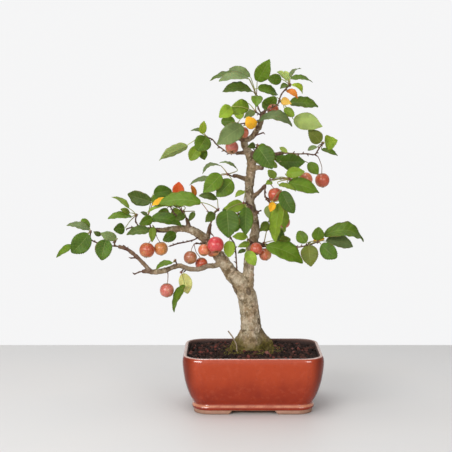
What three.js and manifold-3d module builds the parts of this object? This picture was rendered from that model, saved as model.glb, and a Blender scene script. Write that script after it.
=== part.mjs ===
// Crabapple bonsai in a glazed rectangular pot: an autumn tree with a forked trunk, leaf sprays,
// small apples on long stalks, granular soil and drain-hole screens. Millimetres, +Z up, front at -Y.
// Places in the tables are measured from the pot's centre at table level.
import * as THREE from "three";
import { mergeVertices } from "three/addons/utils/BufferGeometryUtils.js";
import Module from "manifold-3d";

const wasm = await Module();
wasm.setup();

// Driving dimensions
const GAP = 0.3; // between pieces that touch
const POT_LENGTH = 193;
const POT_DEPTH = 150;
const POT_HEIGHT = 79;
const FOOT_HEIGHT = 5;
const POT_CORNER_RADIUS = 28;
const CORNER_TIGHTENING = 0.35; // how much the corner radius shrinks per millimetre of inset
const CORNER_POINTS = 5;
const FLOOR_TOP = 12;
const DRAIN_RADIUS = 7;
const DRAIN_OFFSET = 42; // each side of the centre
const SCREEN_SIDE = 24;
const SCREEN_THICKNESS = 1;
const SCREEN_HOLE = 7;
const SCREEN_HOLES_A_SIDE = 2;
const FOOT_WALL = 13;
const FOOT_INSET = 15;
const FOOT_GAP_FRONT = { top: 59, bottom: 68 };
const FOOT_GAP_SIDE = { top: 50, bottom: 59 };
const SOIL_EDGE_HEIGHT = 72;
const SOIL_MOUND = 6.5;
const SOIL_MOUND_SPREAD = 48;
const GRAIN_RELIEF = 0.9;
const TRUNK_FOOT = { x: -0.5, y: 9 };
const TRUNK_SIDES = 13;
const HOLE_CLEARANCE = 0.5;
const BLADE_THICKNESS = 0.8;
const BLADE_FOLD = 0.14; // how far the two halves rise from the rib, per unit of width
const BLADE_WAVE = 0.02;
const PETIOLE_RADII = [0.55, 0.65, 0.8]; // where the blade opens, half way and at the bud
const PETIOLE_BEND = 2.5;
const TURN_BACK = 0.15; // cosine between petiole and blade below which the petiole has to turn round
const PEG_RADIUS = 1.1;
const SPUR_RADIUS = 1.5;
const WOOD_SIDES = [[8, 7], [4.5, 6], [3.9, 5], [1.2, 4], [0, 3]]; // [thicker than this radius, sides]
const SOIL_COLUMNS = 17;
const SOIL_ROWS = 13;

// Pot wall, from the underside up and over the rim and down to the floor: [height, inset]
const POT_PROFILE = [
  [FOOT_HEIGHT, 16.5],
  [6.2, 14.4],
  [9.6, 13],
  [13.4, 15.2],
  [16, 14.2],
  [21, 11.4],
  [30, 7.8],
  [44, 3.8],
  [60, 1.3],
  [POT_HEIGHT - 1.4, 0.1],
  [POT_HEIGHT, 1.6],
  [POT_HEIGHT, 4.9],
  [POT_HEIGHT - 1.4, 6.2],
  [52, 9],
  [24, 18],
  [FLOOR_TOP, 27],
];
const SOIL_PROFILE = [
  [FLOOR_TOP + GAP, 27.3],
  [24 + GAP, 18.5],
  [52, 9.5],
  [POT_HEIGHT + 12, 6.1],
];

// Trunk from the root crown up to the fork: [x, y, height, radius, depth of the root lobes, and the
// share of the radius it keeps from front to back where that isn't all of it]
const TRUNK = [
  [-1.6, 9, 46, 13, 0.02],
  [-1.4, 9, 62, 21, 0.1],
  [-1.5, 9, 74, 28, 0.13, 0.82],
  [-1.5, 9, 83, 26.6, 0.13, 0.84],
  [-1.4, 9, 91, 23.6, 0.12, 0.87],
  [-1.4, 9, 98, 18.4, 0.08, 0.93],
  [-1.6, 8.8, 105, 15.2, 0.04],
  [-2.4, 8.6, 113, 14.3, 0.03],
  [-3.4, 8.4, 123, 14, 0.03, 0.97],
  [-5.1, 8.2, 137, 13.6, 0.03, 0.93],
  [-7.8, 8, 150, 13.4, 0.03, 0.88],
  [-10.5, 8, 159, 13.4, 0.02, 0.81],
  [-12.5, 7.6, 166, 12.8, 0.01, 0.75],
  [-12.8, 7.2, 172, 9, 0, 0.8],
];

// Dry twig stuck in the soil: [x, y, height, radius]
const DRY_TWIG = [
  [-22, -14, 73, 1.2],
  [-22.5, -14, 86, 1.2],
  [-27, -14, 96, 1.1],
  [-34, -14, 106, 0.8],
];

// Branches and twigs: [x, y, height, radius] along each
const BRANCHES = {
  leader: [
    [-10, 8, 156, 9], [-7, 8, 170, 8.4], [-6, 8, 185, 7.6], [-5, 7, 199, 7.2], [-2, 7, 216, 6.8],
    [2, 8, 233, 6.2], [4, 9, 247, 5.8], [2, 9, 262, 5.7], [-3, 8, 279, 5.8], [-5, 7, 300, 5.9],
    [-3, 8, 320, 6.2], [-2, 9, 338, 6.1], [-6, 8, 352, 5.5], [-11, 6, 361, 4.8], [-12, 5, 368, 4.2],
    [-6, 5, 370, 3.6], [0, 6, 374, 4], [4, 7, 380, 4.1], [9, 8, 388, 3.8], [12, 8, 397, 3.2],
    [12, 8, 406, 2.6],
  ],
  left_main: [
    [-11, 8, 157, 12], [-18, 6, 171, 11.6], [-27, 4, 181, 10.2], [-36, 2, 194, 8.8], [-46, 3, 207, 8.2],
    [-56, 5, 219, 7.2], [-65, 8, 230, 6.6], [-78, 12, 240, 5.9], [-91, 16, 245, 5.2],
    [-110, 22, 244, 4.2], [-127, 26, 242, 3.5], [-144, 29, 243, 2.8], [-158, 31, 245, 2.3],
    [-170, 33, 245, 1.9], [-177, 34, 243, 1.4],
  ],
  lower_left: [
    [-43, 2, 200, 5], [-52, -5, 196, 3.7], [-62, -11, 196, 3.5], [-73, -18, 193, 3.4],
    [-87, -25, 194, 3.3], [-100, -31, 199, 3.3], [-108, -35, 198, 3.3], [-119, -38, 194, 3.6],
    [-134, -42, 192, 3.6], [-142, -44, 193, 2.9], [-152, -46, 193, 2.2], [-160, -48, 190, 1.7],
  ],
  far_left: [
    [-138, -43, 192, 3], [-143, -44, 198, 2.8], [-151, -45, 207, 2.7], [-159, -46, 215, 2.6],
    [-169, -47, 223, 2.4], [-180, -47, 227, 2.4], [-190, -46, 228, 2.3], [-203, -43, 230, 1.8],
    [-214, -41, 233, 1.6], [-220, -39, 237, 1.5], [-220, -38, 244, 1.4],
  ],
  dark_shoot: [
    [-21, 3, 179, 2.2], [-22, -2, 192, 1.9], [-23, -6, 207, 1.8], [-24, -9, 219, 1.7],
    [-26, -12, 228, 1.6], [-30, -14, 234, 1.3],
  ],
  right_lower: [
    [1, 8, 226, 4], [13, 2, 224, 2.9], [28, -8, 223, 2.4], [48, -20, 223, 2.1], [65, -30, 225, 1.9],
    [78, -35, 229, 1.8], [85, -38, 232, 1.6],
  ],
  right_upper: [
    [0, 9, 342, 4], [13, 12, 346, 2.9], [30, 17, 349, 2.5], [48, 21, 350, 2.3], [63, 24, 349, 2.7],
    [76, 27, 349, 1.9], [87, 29, 348, 1.8], [91, 30, 353, 1.8], [94, 30, 358, 1.7], [97, 30, 362, 1.5],
  ],
  right_stub: [
    [-1, 8, 329, 4], [7, 2, 331, 3.4], [14, -3, 330, 2.5],
  ],
  right_mid: [
    [-3, 8, 287, 4], [5, 4, 294, 2.8], [11, -1, 300, 2.6], [16, -6, 306, 2.4], [20, -10, 312, 2.3],
    [25, -15, 315, 2.1], [36, -24, 317, 1.9], [47, -32, 317, 1.7],
  ],
  right_hang: [
    [17, -5, 305, 2.2], [16, -13, 296, 1.7], [18, -20, 289, 1.6], [22, -26, 285, 1.4],
  ],
  left_spur: [
    [-5, 7, 314, 4.4], [-15, 0, 317, 3], [-23, -8, 320, 2.7], [-29, -14, 320, 2.1],
    [-33, -18, 322, 1.5],
  ],
  apex_right: [
    [12, 8, 404, 2.8], [18, 5, 409, 2.2], [26, 2, 413, 2], [34, -2, 418, 2.1], [36, -4, 425, 1.8],
    [39, -6, 432, 2], [44, -7, 438, 1.9], [48, -8, 442, 1.6],
  ],
  apex_left: [
    [12, 8, 404, 2.4], [8, 6, 411, 1.7], [6, 5, 418, 1.5], [5, 4, 426, 1.4],
  ],
  upper_left: [
    [-7, 8, 352, 4], [-16, 11, 351, 2.6], [-25, 15, 350, 2.3], [-33, 18, 350, 2.2], [-42, 21, 356, 2.2],
    [-50, 24, 362, 2.1], [-56, 26, 369, 1.9], [-63, 28, 372, 1.5],
  ],
  upper_twig: [
    [-12, 5, 368, 3], [-20, 1, 371, 2.3], [-29, -5, 374, 1.9], [-38, -12, 372, 1.4],
  ],
  twig_right: [
    [0, 6, 374, 2.4], [6, 1, 376, 1.6], [14, -4, 379, 1.1],
  ],
  knob_right: [
    [2, 9, 266, 3.6], [7, 2, 270, 2.2], [11, -3, 272, 1.8],
  ],
  pink_spur: [
    [-65, 8, 229, 4], [-61, 3, 240, 3.2], [-59, -3, 251, 2.5], [-55, -9, 262, 1.7],
    [-52, -14, 270, 1.5], [-49, -17, 273, 1.4],
  ],
  side_stub: [
    [-89, 16, 244, 4], [-90, 12, 254, 2.8], [-93, 8, 263, 2], [-95, 6, 268, 1.5],
  ],
  left_bud: [
    [-157, 31, 245, 2.2], [-162, 30, 250, 2.1], [-164, 28, 256, 1.9], [-163, 27, 261, 1.5],
  ],
  left_top: [
    [-142, 29, 243, 2.7], [-144, 24, 251, 1.8], [-146, 19, 259, 1.5],
  ],
  left_under: [
    [-130, 26, 242, 3.2], [-132, 19, 242, 1.8], [-134, 13, 244, 1.4],
  ],
  thin_twig: [
    [-74, 11, 236, 3], [-79, 4, 232, 1.5], [-90, -2, 229, 1.2], [-103, -8, 227, 1.1],
    [-114, -14, 224, 0.9],
  ],
  fruit_twig: [
    [-64, 6, 227, 4], [-72, -4, 226, 1.9], [-78, -10, 228, 1.4],
  ],
  low_stub: [
    [-156, -46, 212, 1.8], [-161, -48, 212, 1.2], [-165, -50, 212, 1],
  ],
  low_twig: [
    [-164, -46, 219, 1.8], [-170, -44, 224, 1.2], [-175, -42, 228, 0.9],
  ],
  hang_spur: [
    [-94, -29, 196, 2.6], [-96, -34, 193, 1.6], [-97, -38, 192, 1.3],
  ],
  low_spur: [
    [-103, -33, 199, 2.6], [-104, -36, 203, 1.6], [-105, -39, 206, 1.3],
  ],
  front_centre: [
    [-1, 9, 270, 4.4], [-5, -10, 279, 2.4], [-9, -32, 284, 2.1], [-13, -50, 286, 1.6],
  ],
  front_upper: [
    [-3, 9, 344, 4.4], [1, -8, 352, 2.3], [4, -26, 358, 1.9], [5, -38, 362, 1.5],
  ],
  back_centre: [
    [1, 10, 252, 4.4], [0, 30, 257, 2.6], [-9, 50, 260, 2.2], [-18, 70, 261, 1.6],
  ],
  back_upper: [
    [-2, 10, 333, 4.4], [5, 28, 339, 2.5], [17, 48, 342, 2.1], [27, 66, 345, 1.5],
  ],
  back_left: [
    [-101, 19, 244, 4], [-105, 34, 254, 2.3], [-111, 50, 264, 2], [-117, 66, 272, 1.5],
  ],
  back_right: [
    [2, 10, 238, 4.2], [10, 28, 242, 2.4], [23, 46, 245, 2], [33, 64, 247, 1.5],
  ],
  back_crown: [
    [11, 9, 394, 3], [3, 22, 394, 1.9], [-8, 35, 392, 1.7], [-19, 48, 390, 1.4],
  ],
  low_leaf: [
    [0, 8, 225, 4.6], [-3, -4, 228, 2], [-6, -14, 232, 1.5],
  ],
  crown_left: [
    [12, 9, 402, 2.8], [7, 1, 405, 1.6], [4, -6, 407, 1.4],
  ],
  leader_knot: [
    [8, 8, 385, 3.6], [4, -2, 387, 1.8], [2, -10, 389, 1.4],
  ],
  crown_right: [
    [35, -3, 420, 2], [37, 2, 421, 1.7], [39, 7, 421, 1.4],
  ],
  upper_mid: [
    [63, 24, 349, 2.6], [63, 20, 345, 2], [62, 17, 342, 1.5],
  ],
};

// Leaf sprays. A spray grows from the end of a branch, or from its own spur between from and bud.
// Each leaf: [base x, y, z, tip x, y, z, width, roll in degrees, arch as a share of length, tint]
const SPRAYS = {
  apex_left: {
    branch: "apex_left",
    leaves: [
      [6, 14, 449, 22, -5, 478, 21, 0, 0.05, "mid"],
      [-4, 4, 455, -33, 11, 467, 16, 40, 0.08, "grey"],
      [-6, -6, 452, -47, -10, 449, 21, 60, 0.14, "grey"],
      [-7, 23, 454, -60, 28, 452, 27, 70, 0.13, "dark"],
      [-1, -7, 435, -42, -12, 435, 21, 50, 0.16, "dark"],
      [6, -15, 439, 35, 5, 431, 18, 45, 0.1, "mid"],
    ],
  },
  crown_left: {
    branch: "crown_left",
    leaves: [
      [4, -14, 429, 3, -38, 414, 16, 0, 0.1, "light"],
      [-7, -4, 419, -34, -20, 405, 20, 0, 0.12, "light"],
      [-30, -26, 414, -46, -40, 400, 18, 0, 0.1, "light"],
      [2, -10, 408, -13, -18, 399, 10, 10, 0.1, "grey"],
    ],
  },
  apex_right: {
    branch: "apex_right",
    leaves: [
      [52, -8, 444, 67, -10, 432, 10, 40, 0.34, "lime"],
      [50, -15, 452, 81, -8, 447, 16, 65, 0.14, "mid"],
      [50, -5, 454, 66, 6, 466, 11, 70, 0.2, "grey"],
      [47, -2, 451, 33, 14, 462, 12, 125, 0.05, "pale"],
      [49, 9, 452, 45, 28, 463, 11, 150, 0.05, "pale"],
      [38, -14, 451, 19, -26, 452, 15, 0, 0.1, "mid"],
      [47, -12, 444, 36, -24, 439, 9, 35, 0.1, "dark"],
    ],
  },
  crown_right: {
    branch: "crown_right",
    leaves: [
      [33, 23, 427, 15, 45, 410, 19, 5, 0.08, "deep"],
      [50, 8, 420, 90, 6, 415, 20, 40, 0.1, "mid"],
      [56, 10, 397, 96, 8, 387, 24, 180, 0.06, "pale"],
      [43, 4, 412, 56, 0, 401, 12, 0, 0.1, "light"],
    ],
  },
  leader_knot: {
    branch: "leader_knot",
    leaves: [
      [-14, -16, 388, -49, -34, 364, 26, 0, 0.1, "grey"],
      [7, -12, 395, 53, -18, 389, 23, 55, 0.27, "grey"],
    ],
  },
  right_upper: {
    branch: "right_upper",
    leaves: [
      [95, 26, 365, 77, 20, 382, 19, 0, 0.06, "bronze"],
      [101, 26, 365, 116, 8, 368, 21, 0, 0.1, "mid"],
      [91, 37, 358, 78, 44, 353, 8, 40, 0.2, "grey"],
      [97, 36, 355, 120, 35, 346, 12, 55, 0.1, "mid"],
    ],
  },
  upper_mid: {
    branch: "upper_mid",
    leaves: [
      [39, 8, 339, 72, 2, 339, 23, 0, 0.08, "deep"],
      [77, 14, 337, 91, 12, 321, 15, 0, 0.08, "mid"],
      [49, 35, 351, 38, 37, 358, 7, 15, 0.05, "pale"],
    ],
  },
  left_upper: {
    branch: "upper_left",
    leaves: [
      [-91, 34, 361, -132, 40, 340, 23, 130, 0.05, "pale"],
      [-70, 20, 377, -67, 14, 395, 11, 0, 0.06, "lime"],
      [-69, 34, 381, -87, 40, 381, 9, 60, 0.1, "dark"],
      [-64, 18, 373, -76, 4, 354, 24, 0, 0.08, "deep"],
      [-74, 26, 360, -87, 22, 340, 17, 0, 0.05, "mid"],
      [-72, 32, 358, -67, 34, 340, 13, 0, 0.05, "mid"],
    ],
  },
  front_upper: {
    branch: "front_upper",
    leaves: [
      [6, -42, 360, 25, -52, 332, 29, 0, 0.08, "deep"],
      [2, -38, 363, -8, -50, 361, 9, 5, 0.08, "dark"],
    ],
  },
  right_mid: {
    branch: "right_mid",
    leaves: [
      [44, -36, 324, 68, -48, 328, 15, 0, 0.08, "light"],
      [47, -31, 312, 90, -25, 298, 23, 35, 0.12, "mid"],
      [34, -38, 310, 57, -44, 302, 13, 60, 0.1, "olive"],
      [30, -44, 320, 19, -49, 330, 11, 5, 0.08, "olive"],
      [24, -36, 314, 16, -50, 311, 8, 30, 0.08, "light"],
    ],
  },
  right_hang: {
    branch: "right_hang",
    leaves: [
      [36, -34, 285, 28, -40, 232, 27, 50, 0.05, "light"],
      [38, -18, 280, 43, -12, 245, 18, 45, 0.05, "light"],
      [22, -20, 281, 24, -16, 261, 14, 180, 0.05, "olive"],
      [38, -38, 301, 54, -46, 272, 20, 0, 0.1, "deep"],
    ],
  },
  front_centre: {
    branch: "front_centre",
    leaves: [
      [-14, -52, 284, -40, -62, 280, 17, 0, 0.1, "light"],
      [-10, -54, 281, -11, -66, 245, 20, 0, 0.08, "deep"],
      [-36, -66, 278, -34, -76, 242, 32, 0, 0.07, "deep"],
      [-13, -46, 302, -25, -56, 295, 9, 40, 0.08, "olive"],
    ],
  },
  left_mid: {
    branch: "left_spur",
    leaves: [
      [-45, -22, 335, -69, -28, 324, 14, 70, 0.24, "grey"],
      [-23, -10, 331, -46, -5, 339, 12, 75, 0.12, "grey"],
      [-44, -28, 323, -68, -36, 299, 23, 5, 0.08, "mid"],
      [-29, -22, 315, -50, -30, 293, 23, 0, 0.08, "mid"],
      [-55, -4, 315, -88, 2, 307, 17, 70, 0.12, "grey"],
    ],
  },
  pink_bud: {
    branch: "pink_spur",
    leaves: [
      [-49, -16, 289, -74, -20, 294, 13, 45, 0.1, "dark"],
      [-71, -14, 284, -129, -12, 283, 29, 50, 0.08, "mid"],
      [-54, -22, 271, -65, -34, 259, 13, 0, 0.08, "dark"],
    ],
  },
  low_leaf: {
    branch: "low_leaf",
    leaves: [
      [-9, -24, 218, 3, -30, 199, 16, 0, 0.08, "light"],
      [-8, -20, 238, -28, -30, 239, 11, 15, 0.1, "light"],
      [-5, -24, 229, -21, -32, 225, 9, 25, 0.1, "olive"],
      [-10, -14, 219, -21, -22, 215, 7, 40, 0.1, "dark"],
    ],
  },
  dark_shoot: {
    branch: "dark_shoot",
    leaves: [
      [-32, -18, 232, -33, -24, 210, 16, 0, 0.06, "light"],
    ],
  },
  right_inner: {
    from: [14, 1, 224],
    bud: [15, -6, 227],
    leaves: [
      [18, -22, 225, 68, -32, 204, 28, 35, 0.1, "mid"],
      [37, -6, 230, 52, -10, 233, 15, 0, 0.08, "olive"],
      [21, 0, 256, 10, -8, 244, 11, 0, 0.08, "olive"],
    ],
  },
  right_lower: {
    branch: "right_lower",
    leaves: [
      [70, -48, 232, 60, -44, 248, 16, 0, 0.06, "mid"],
      [85, -40, 235, 88, -46, 253, 17, 0, 0.06, "mid"],
      [95, -36, 241, 151, -26, 233, 29, 55, 0.27, "mid"],
      [74, -46, 229, 77, -54, 201, 24, 0, 0.08, "bronze"],
      [91, -46, 230, 111, -56, 213, 21, 0, 0.08, "deep"],
      [98, -34, 233, 137, -22, 225, 21, 40, 0.08, "grey"],
    ],
  },
  side_stub: {
    branch: "side_stub",
    leaves: [
      [-96, -1, 278, -146, -10, 270, 26, 80, 0.1, "light"],
      [-94, 0, 266, -106, -10, 260, 11, 0, 0.08, "dark"],
      [-81, 8, 269, -88, 0, 257, 8, 0, 0.08, "dark"],
    ],
  },
  left_top: {
    branch: "left_top",
    leaves: [
      [-141, 15, 283, -175, 23, 293, 21, -10, 0.06, "dark"],
      [-138, 20, 294, -113, 28, 298, 20, 0, 0.06, "deep"],
      [-142, 13, 260, -97, 2, 250, 24, 50, 0.1, "deep"],
      [-139, 2, 262, -156, -12, 254, 14, 0, 0.08, "mid"],
      [-147, 20, 262, -157, 28, 268, 7, 50, 0.1, "dark"],
    ],
  },
  left_under: {
    branch: "left_under",
    leaves: [
      [-142, 6, 244, -175, 0, 239, 17, 45, 0.06, "dark"],
      [-138, 4, 249, -139, -2, 228, 11, 20, 0.06, "olive"],
      [-107, 12, 239, -124, 2, 230, 15, 0, 0.08, "deep"],
    ],
  },
  left_bud: {
    branch: "left_bud",
    leaves: [
      [-173, 24, 273, -198, 30, 289, 15, 70, 0.12, "olive"],
      [-171, 18, 267, -183, 8, 273, 8, 35, 0.08, "olive"],
      [-169, 24, 261, -202, 16, 259, 17, 60, 0.12, "mid"],
      [-179, 24, 245, -194, 16, 244, 16, 5, 0.08, "deep"],
    ],
  },
  far_left_inner: {
    from: [-187, -46, 228],
    bud: [-186, -52, 233],
    leaves: [
      [-183, -56, 239, -203, -66, 247, 13, 0, 0.08, "grey"],
      [-197, -58, 238, -202, -66, 211, 23, 0, 0.08, "deep"],
      [-204, -50, 243, -214, -54, 248, 7, 0, 0.05, "dark"],
    ],
  },
  far_left: {
    branch: "far_left",
    leaves: [
      [-222, -42, 244, -244, -50, 219, 26, 0, 0.08, "deep"],
      [-221, -36, 249, -253, -34, 256, 16, 60, 0.1, "grey"],
      [-222, -30, 251, -234, -22, 262, 12, 0, 0.06, "mid"],
      [-244, -34, 227, -268, -30, 210, 15, 55, 0.06, "mid"],
    ],
  },
  hang_spur: {
    branch: "hang_spur",
    leaves: [
      [-93, -44, 175, -109, -48, 138, 20, 60, 0.08, "mid"],
    ],
  },
  low_spur: {
    branch: "low_spur",
    leaves: [
      [-109, -42, 205, -132, -48, 196, 13, 60, 0.12, "mid"],
    ],
  },
  back_centre: {
    branch: "back_centre",
    leaves: [
      [-24, 76, 265, -43, 96, 259, 16, 0, 0.1, "mid"],
      [-20, 76, 256, -31, 84, 233, 17, 0, 0.1, "deep"],
      [-12, 76, 266, -3, 96, 273, 13, 0, 0.1, "light"],
      [-12, 72, 256, -7, 80, 237, 16, 0, 0.1, "mid"],
    ],
  },
  back_upper: {
    branch: "back_upper",
    leaves: [
      [23, 70, 350, 9, 84, 358, 16, 0, 0.1, "mid"],
      [35, 72, 341, 64, 82, 335, 17, 0, 0.1, "deep"],
      [30, 70, 339, 27, 90, 326, 17, 0, 0.1, "light"],
      [33, 76, 347, 45, 102, 340, 19, 0, 0.12, "mid"],
    ],
  },
  back_left: {
    branch: "back_left",
    leaves: [
      [-123, 70, 278, -147, 78, 282, 17, 0, 0.1, "mid"],
      [-116, 70, 277, -95, 76, 281, 17, 0, 0.1, "deep"],
      [-122, 72, 269, -133, 80, 250, 16, 0, 0.1, "mid"],
      [-112, 68, 270, -102, 78, 250, 16, 0, 0.1, "light"],
      [-119, 74, 279, -125, 98, 291, 17, 0, 0.1, "mid"],
    ],
  },
  back_right: {
    branch: "back_right",
    leaves: [
      [38, 68, 251, 44, 80, 266, 13, 0, 0.1, "mid"],
      [35, 68, 241, 41, 78, 220, 17, 0, 0.1, "deep"],
      [28, 68, 242, 15, 84, 242, 13, 0, 0.1, "mid"],
      [39, 70, 244, 51, 94, 238, 14, 20, 0.1, "light"],
    ],
  },
  back_crown: {
    branch: "back_crown",
    leaves: [
      [-24, 56, 393, -44, 60, 394, 17, 0, 0.1, "mid"],
      [-23, 52, 386, -38, 60, 375, 17, 0, 0.1, "deep"],
      [-17, 54, 397, -20, 64, 413, 14, 0, 0.1, "light"],
      [-16, 54, 387, -28, 78, 383, 17, 0, 0.1, "mid"],
    ],
  },
};

// Single leaves that have turned yellow, orange or red, each on its own petiole.
const TURNED = {
  yellow_curled: {
    from: [5, 6, 382],
    bud: [4, -2, 383],
    leaf: [2, -18, 386, -9, -26, 400, 16, 0, 0.18, "yellow"],
  },
  yellow_crown: {
    from: [36, -4, 424],
    bud: [37, -8, 423],
    leaf: [38, -12, 423, 51, -24, 418, 11, 0, 0.15, "yellow"],
  },
  orange_curled: {
    from: [45, -7, 439],
    bud: [45, -10, 437],
    leaf: [45, -14, 436, 60, -20, 425, 10, 30, 0.3, "orange"],
  },
  yellow_hang: {
    from: [19, -21, 288],
    bud: [23, -30, 288],
    leaf: [27, -38, 286, 22, -46, 274, 10, 0, 0.12, "yellow"],
  },
  red_orange: {
    from: [-90, 12, 255],
    bud: [-98, 20, 269],
    leaf: [-104, 24, 289, -103, 26, 310, 17, 0, 0.08, "redorange"],
  },
  orange_upright: {
    from: [-56, -8, 260],
    bud: [-62, -2, 271],
    leaf: [-80, 4, 290, -85, 6, 307, 9, 40, 0.1, "orange"],
  },
  yellow_left: {
    from: [-91, 10, 259],
    bud: [-100, 13, 272],
    leaf: [-118, 4, 288, -139, -2, 279, 12, 50, 0.1, "yellow"],
  },
  yellow_right: {
    from: [73, -33, 227],
    bud: [76, -38, 232],
    leaf: [81, -34, 233, 97, -31, 236, 8, 30, 0.08, "yellow"],
  },
  yellow_low: {
    from: [-90, -26, 194],
    bud: [-94, -30, 191],
    leaf: [-95, -32, 189, -89, -34, 161, 18, 0, 0.06, "yellow"],
  },
};

// Apples, singly or two to a spur: [x, y, z, radius]
const FRUIT = {
  pink_upper: {
    from: [-30, 17, 350],
    bud: [-29, 8, 353],
    apples: [[-29, -6, 359, 9]],
    shade: "rose",
  },
  orange_upper: {
    from: [-13, 5, 367],
    bud: [-13, -8, 369],
    apples: [[-14, -9, 379, 8]],
    shade: "amber",
  },
  red_crown: {
    from: [26, 2, 413],
    bud: [27, 5, 416],
    apples: [[28, 16, 410, 8]],
    shade: "red",
  },
  orange_right: {
    from: [35, -23, 317],
    bud: [44, -22, 318],
    apples: [[72, -14, 316, 9]],
    shade: "amber",
  },
  red_right: {
    from: [87, 29, 348],
    bud: [90, 29, 346],
    apples: [[98, 30, 312, 10]],
    shade: "red",
  },
  red_mid: {
    from: [21, -12, 313],
    bud: [24, -15, 309],
    apples: [[30, -18, 295, 9.5]],
    shade: "red",
  },
  red_hidden: {
    from: [17, -18, 291],
    bud: [24, -12, 288],
    apples: [[43, 0, 256, 8.5]],
    shade: "red",
  },
  bright_red: {
    from: [-61, 2, 242],
    bud: [-56, -14, 240],
    apples: [[-51, -33, 228, 11]],
    shade: "rose",
  },
  amber_pair: {
    from: [-67, 8, 232],
    bud: [-63, -7, 231],
    apples: [[-55, -13, 218, 9], [-67, -26, 220, 8]],
    shade: "amber",
  },
  brown_pair: {
    from: [-75, -7, 227],
    bud: [-79, -11, 227],
    apples: [[-86, -11, 208, 9], [-71, 0, 198, 8.5]],
    shade: "brown",
  },
  centre_pair: {
    from: [7, 4, 225],
    bud: [8, -6, 225],
    apples: [[4, -20, 221, 8.5], [17, -8, 212, 8.5]],
    shade: "red",
  },
  left_pair: {
    from: [-134, 28, 242],
    bud: [-135, 21, 239],
    apples: [[-128, 18, 217, 9.5], [-147, 8, 216, 10.5]],
    shade: "amber",
  },
  hanging_pink: {
    from: [-117, -38, 195],
    bud: [-116, -39, 191],
    apples: [[-117, -40, 167, 9.5]],
    shade: "rose",
  },
};

const BLADE_COLOURS = {
  mid: 0x5f7f35,
  deep: 0x47682c,
  dark: 0x4c5a2e,
  grey: 0x71846a,
  light: 0x87a440,
  pale: 0xa9ba6c,
  olive: 0x8b9350,
  lime: 0xa3ad3c,
  bronze: 0x6f6f33,
  yellow: 0xe8b536,
  orange: 0xd07a2c,
  redorange: 0xc9521f,
};
const APPLE_COLOURS = { rose: 0xd2534b, amber: 0xd98447, red: 0xb44a2e, brown: 0xa66438 };

const point = (x, y, z) => new THREE.Vector3(x, y, z);
const asPoint = ([x, y, z]) => point(x, y, z);
const crossed = (a, b) => new THREE.Vector3().crossVectors(a, b);

// A closed solid from corner points and triangles, turned face out if they were listed inside out.
function solidFrom(points, faces) {
  const vertProperties = new Float32Array(points.flatMap((p) => [p.x, p.y, p.z]));
  const triVerts = new Uint32Array(faces.flat());
  const made = new wasm.Manifold(new wasm.Mesh({ numProp: 3, vertProperties, triVerts }));
  if (made.volume() > 0) return made;
  return solidFrom(points, faces.map(([a, b, c]) => [a, c, b]));
}

function solidFromGeometry(geometry) {
  const bare = geometry.index ? geometry.toNonIndexed() : geometry.clone();
  bare.deleteAttribute("normal");
  bare.deleteAttribute("uv");
  const merged = mergeVertices(bare, 1e-4);
  const mesh = new wasm.Mesh({
    numProp: 3,
    vertProperties: merged.attributes.position.array,
    triVerts: new Uint32Array(merged.index.array),
  });
  return new wasm.Manifold(mesh);
}

const joined = (solids) => solids.reduce((whole, next) => whole.add(next));

// Skins a stack of rings that all have the same number of points, and closes both ends.
function loft(rings) {
  const sides = rings[0].length;
  const last = (rings.length - 1) * sides;
  const faces = [];
  for (let i = 0; i + 1 < rings.length; i++) {
    for (let j = 0; j < sides; j++) {
      const a = i * sides + j;
      const b = i * sides + ((j + 1) % sides);
      faces.push([a, b, b + sides], [a, b + sides, a + sides]);
    }
  }
  for (let j = 1; j + 1 < sides; j++) {
    faces.push([0, j + 1, j], [last, last + j, last + j + 1]);
  }
  return solidFrom(rings.flat(), faces);
}

function circle(centre, first, second, radius, sides) {
  return Array.from({ length: sides }, (_, j) => {
    const angle = (j / sides) * 2 * Math.PI;
    return centre
      .clone()
      .addScaledVector(first, radius * Math.cos(angle))
      .addScaledVector(second, radius * Math.sin(angle));
  });
}

// A tapering stem through stations of [x, y, z, radius].
function stem(stations, sides) {
  const centres = stations.map(([x, y, z]) => point(x, y, z));
  const spine = new THREE.CatmullRomCurve3(centres, false, "centripetal");
  let first = null;
  const rings = stations.map(([, , , radius], i) => {
    const t = i / (stations.length - 1);
    const along = spine.getTangent(t);
    if (!first) first = Math.abs(along.z) > 0.9 ? point(1, 0, 0) : point(0, 0, 1);
    first = first.clone().addScaledVector(along, -first.dot(along)).normalize();
    return circle(spine.getPoint(t), first, crossed(along, first), radius, sides);
  });
  return loft(rings);
}

// A rectangle with round corners, level at the given height.
function roundedRing(halfLength, halfDepth, radius, height) {
  const ring = [];
  for (const [sx, sy, start] of [[1, 1, 0], [-1, 1, 0.5], [-1, -1, 1], [1, -1, 1.5]]) {
    for (let k = 0; k < CORNER_POINTS; k++) {
      const angle = (start + (0.5 * k) / (CORNER_POINTS - 1)) * Math.PI;
      const x = sx * (halfLength - radius) + radius * Math.cos(angle);
      const y = sy * (halfDepth - radius) + radius * Math.sin(angle);
      ring.push(point(x, y, height));
    }
  }
  return ring;
}

function potRing([height, inset]) {
  const radius = POT_CORNER_RADIUS - CORNER_TIGHTENING * inset;
  return roundedRing(POT_LENGTH / 2 - inset, POT_DEPTH / 2 - inset, radius, height);
}

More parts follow.
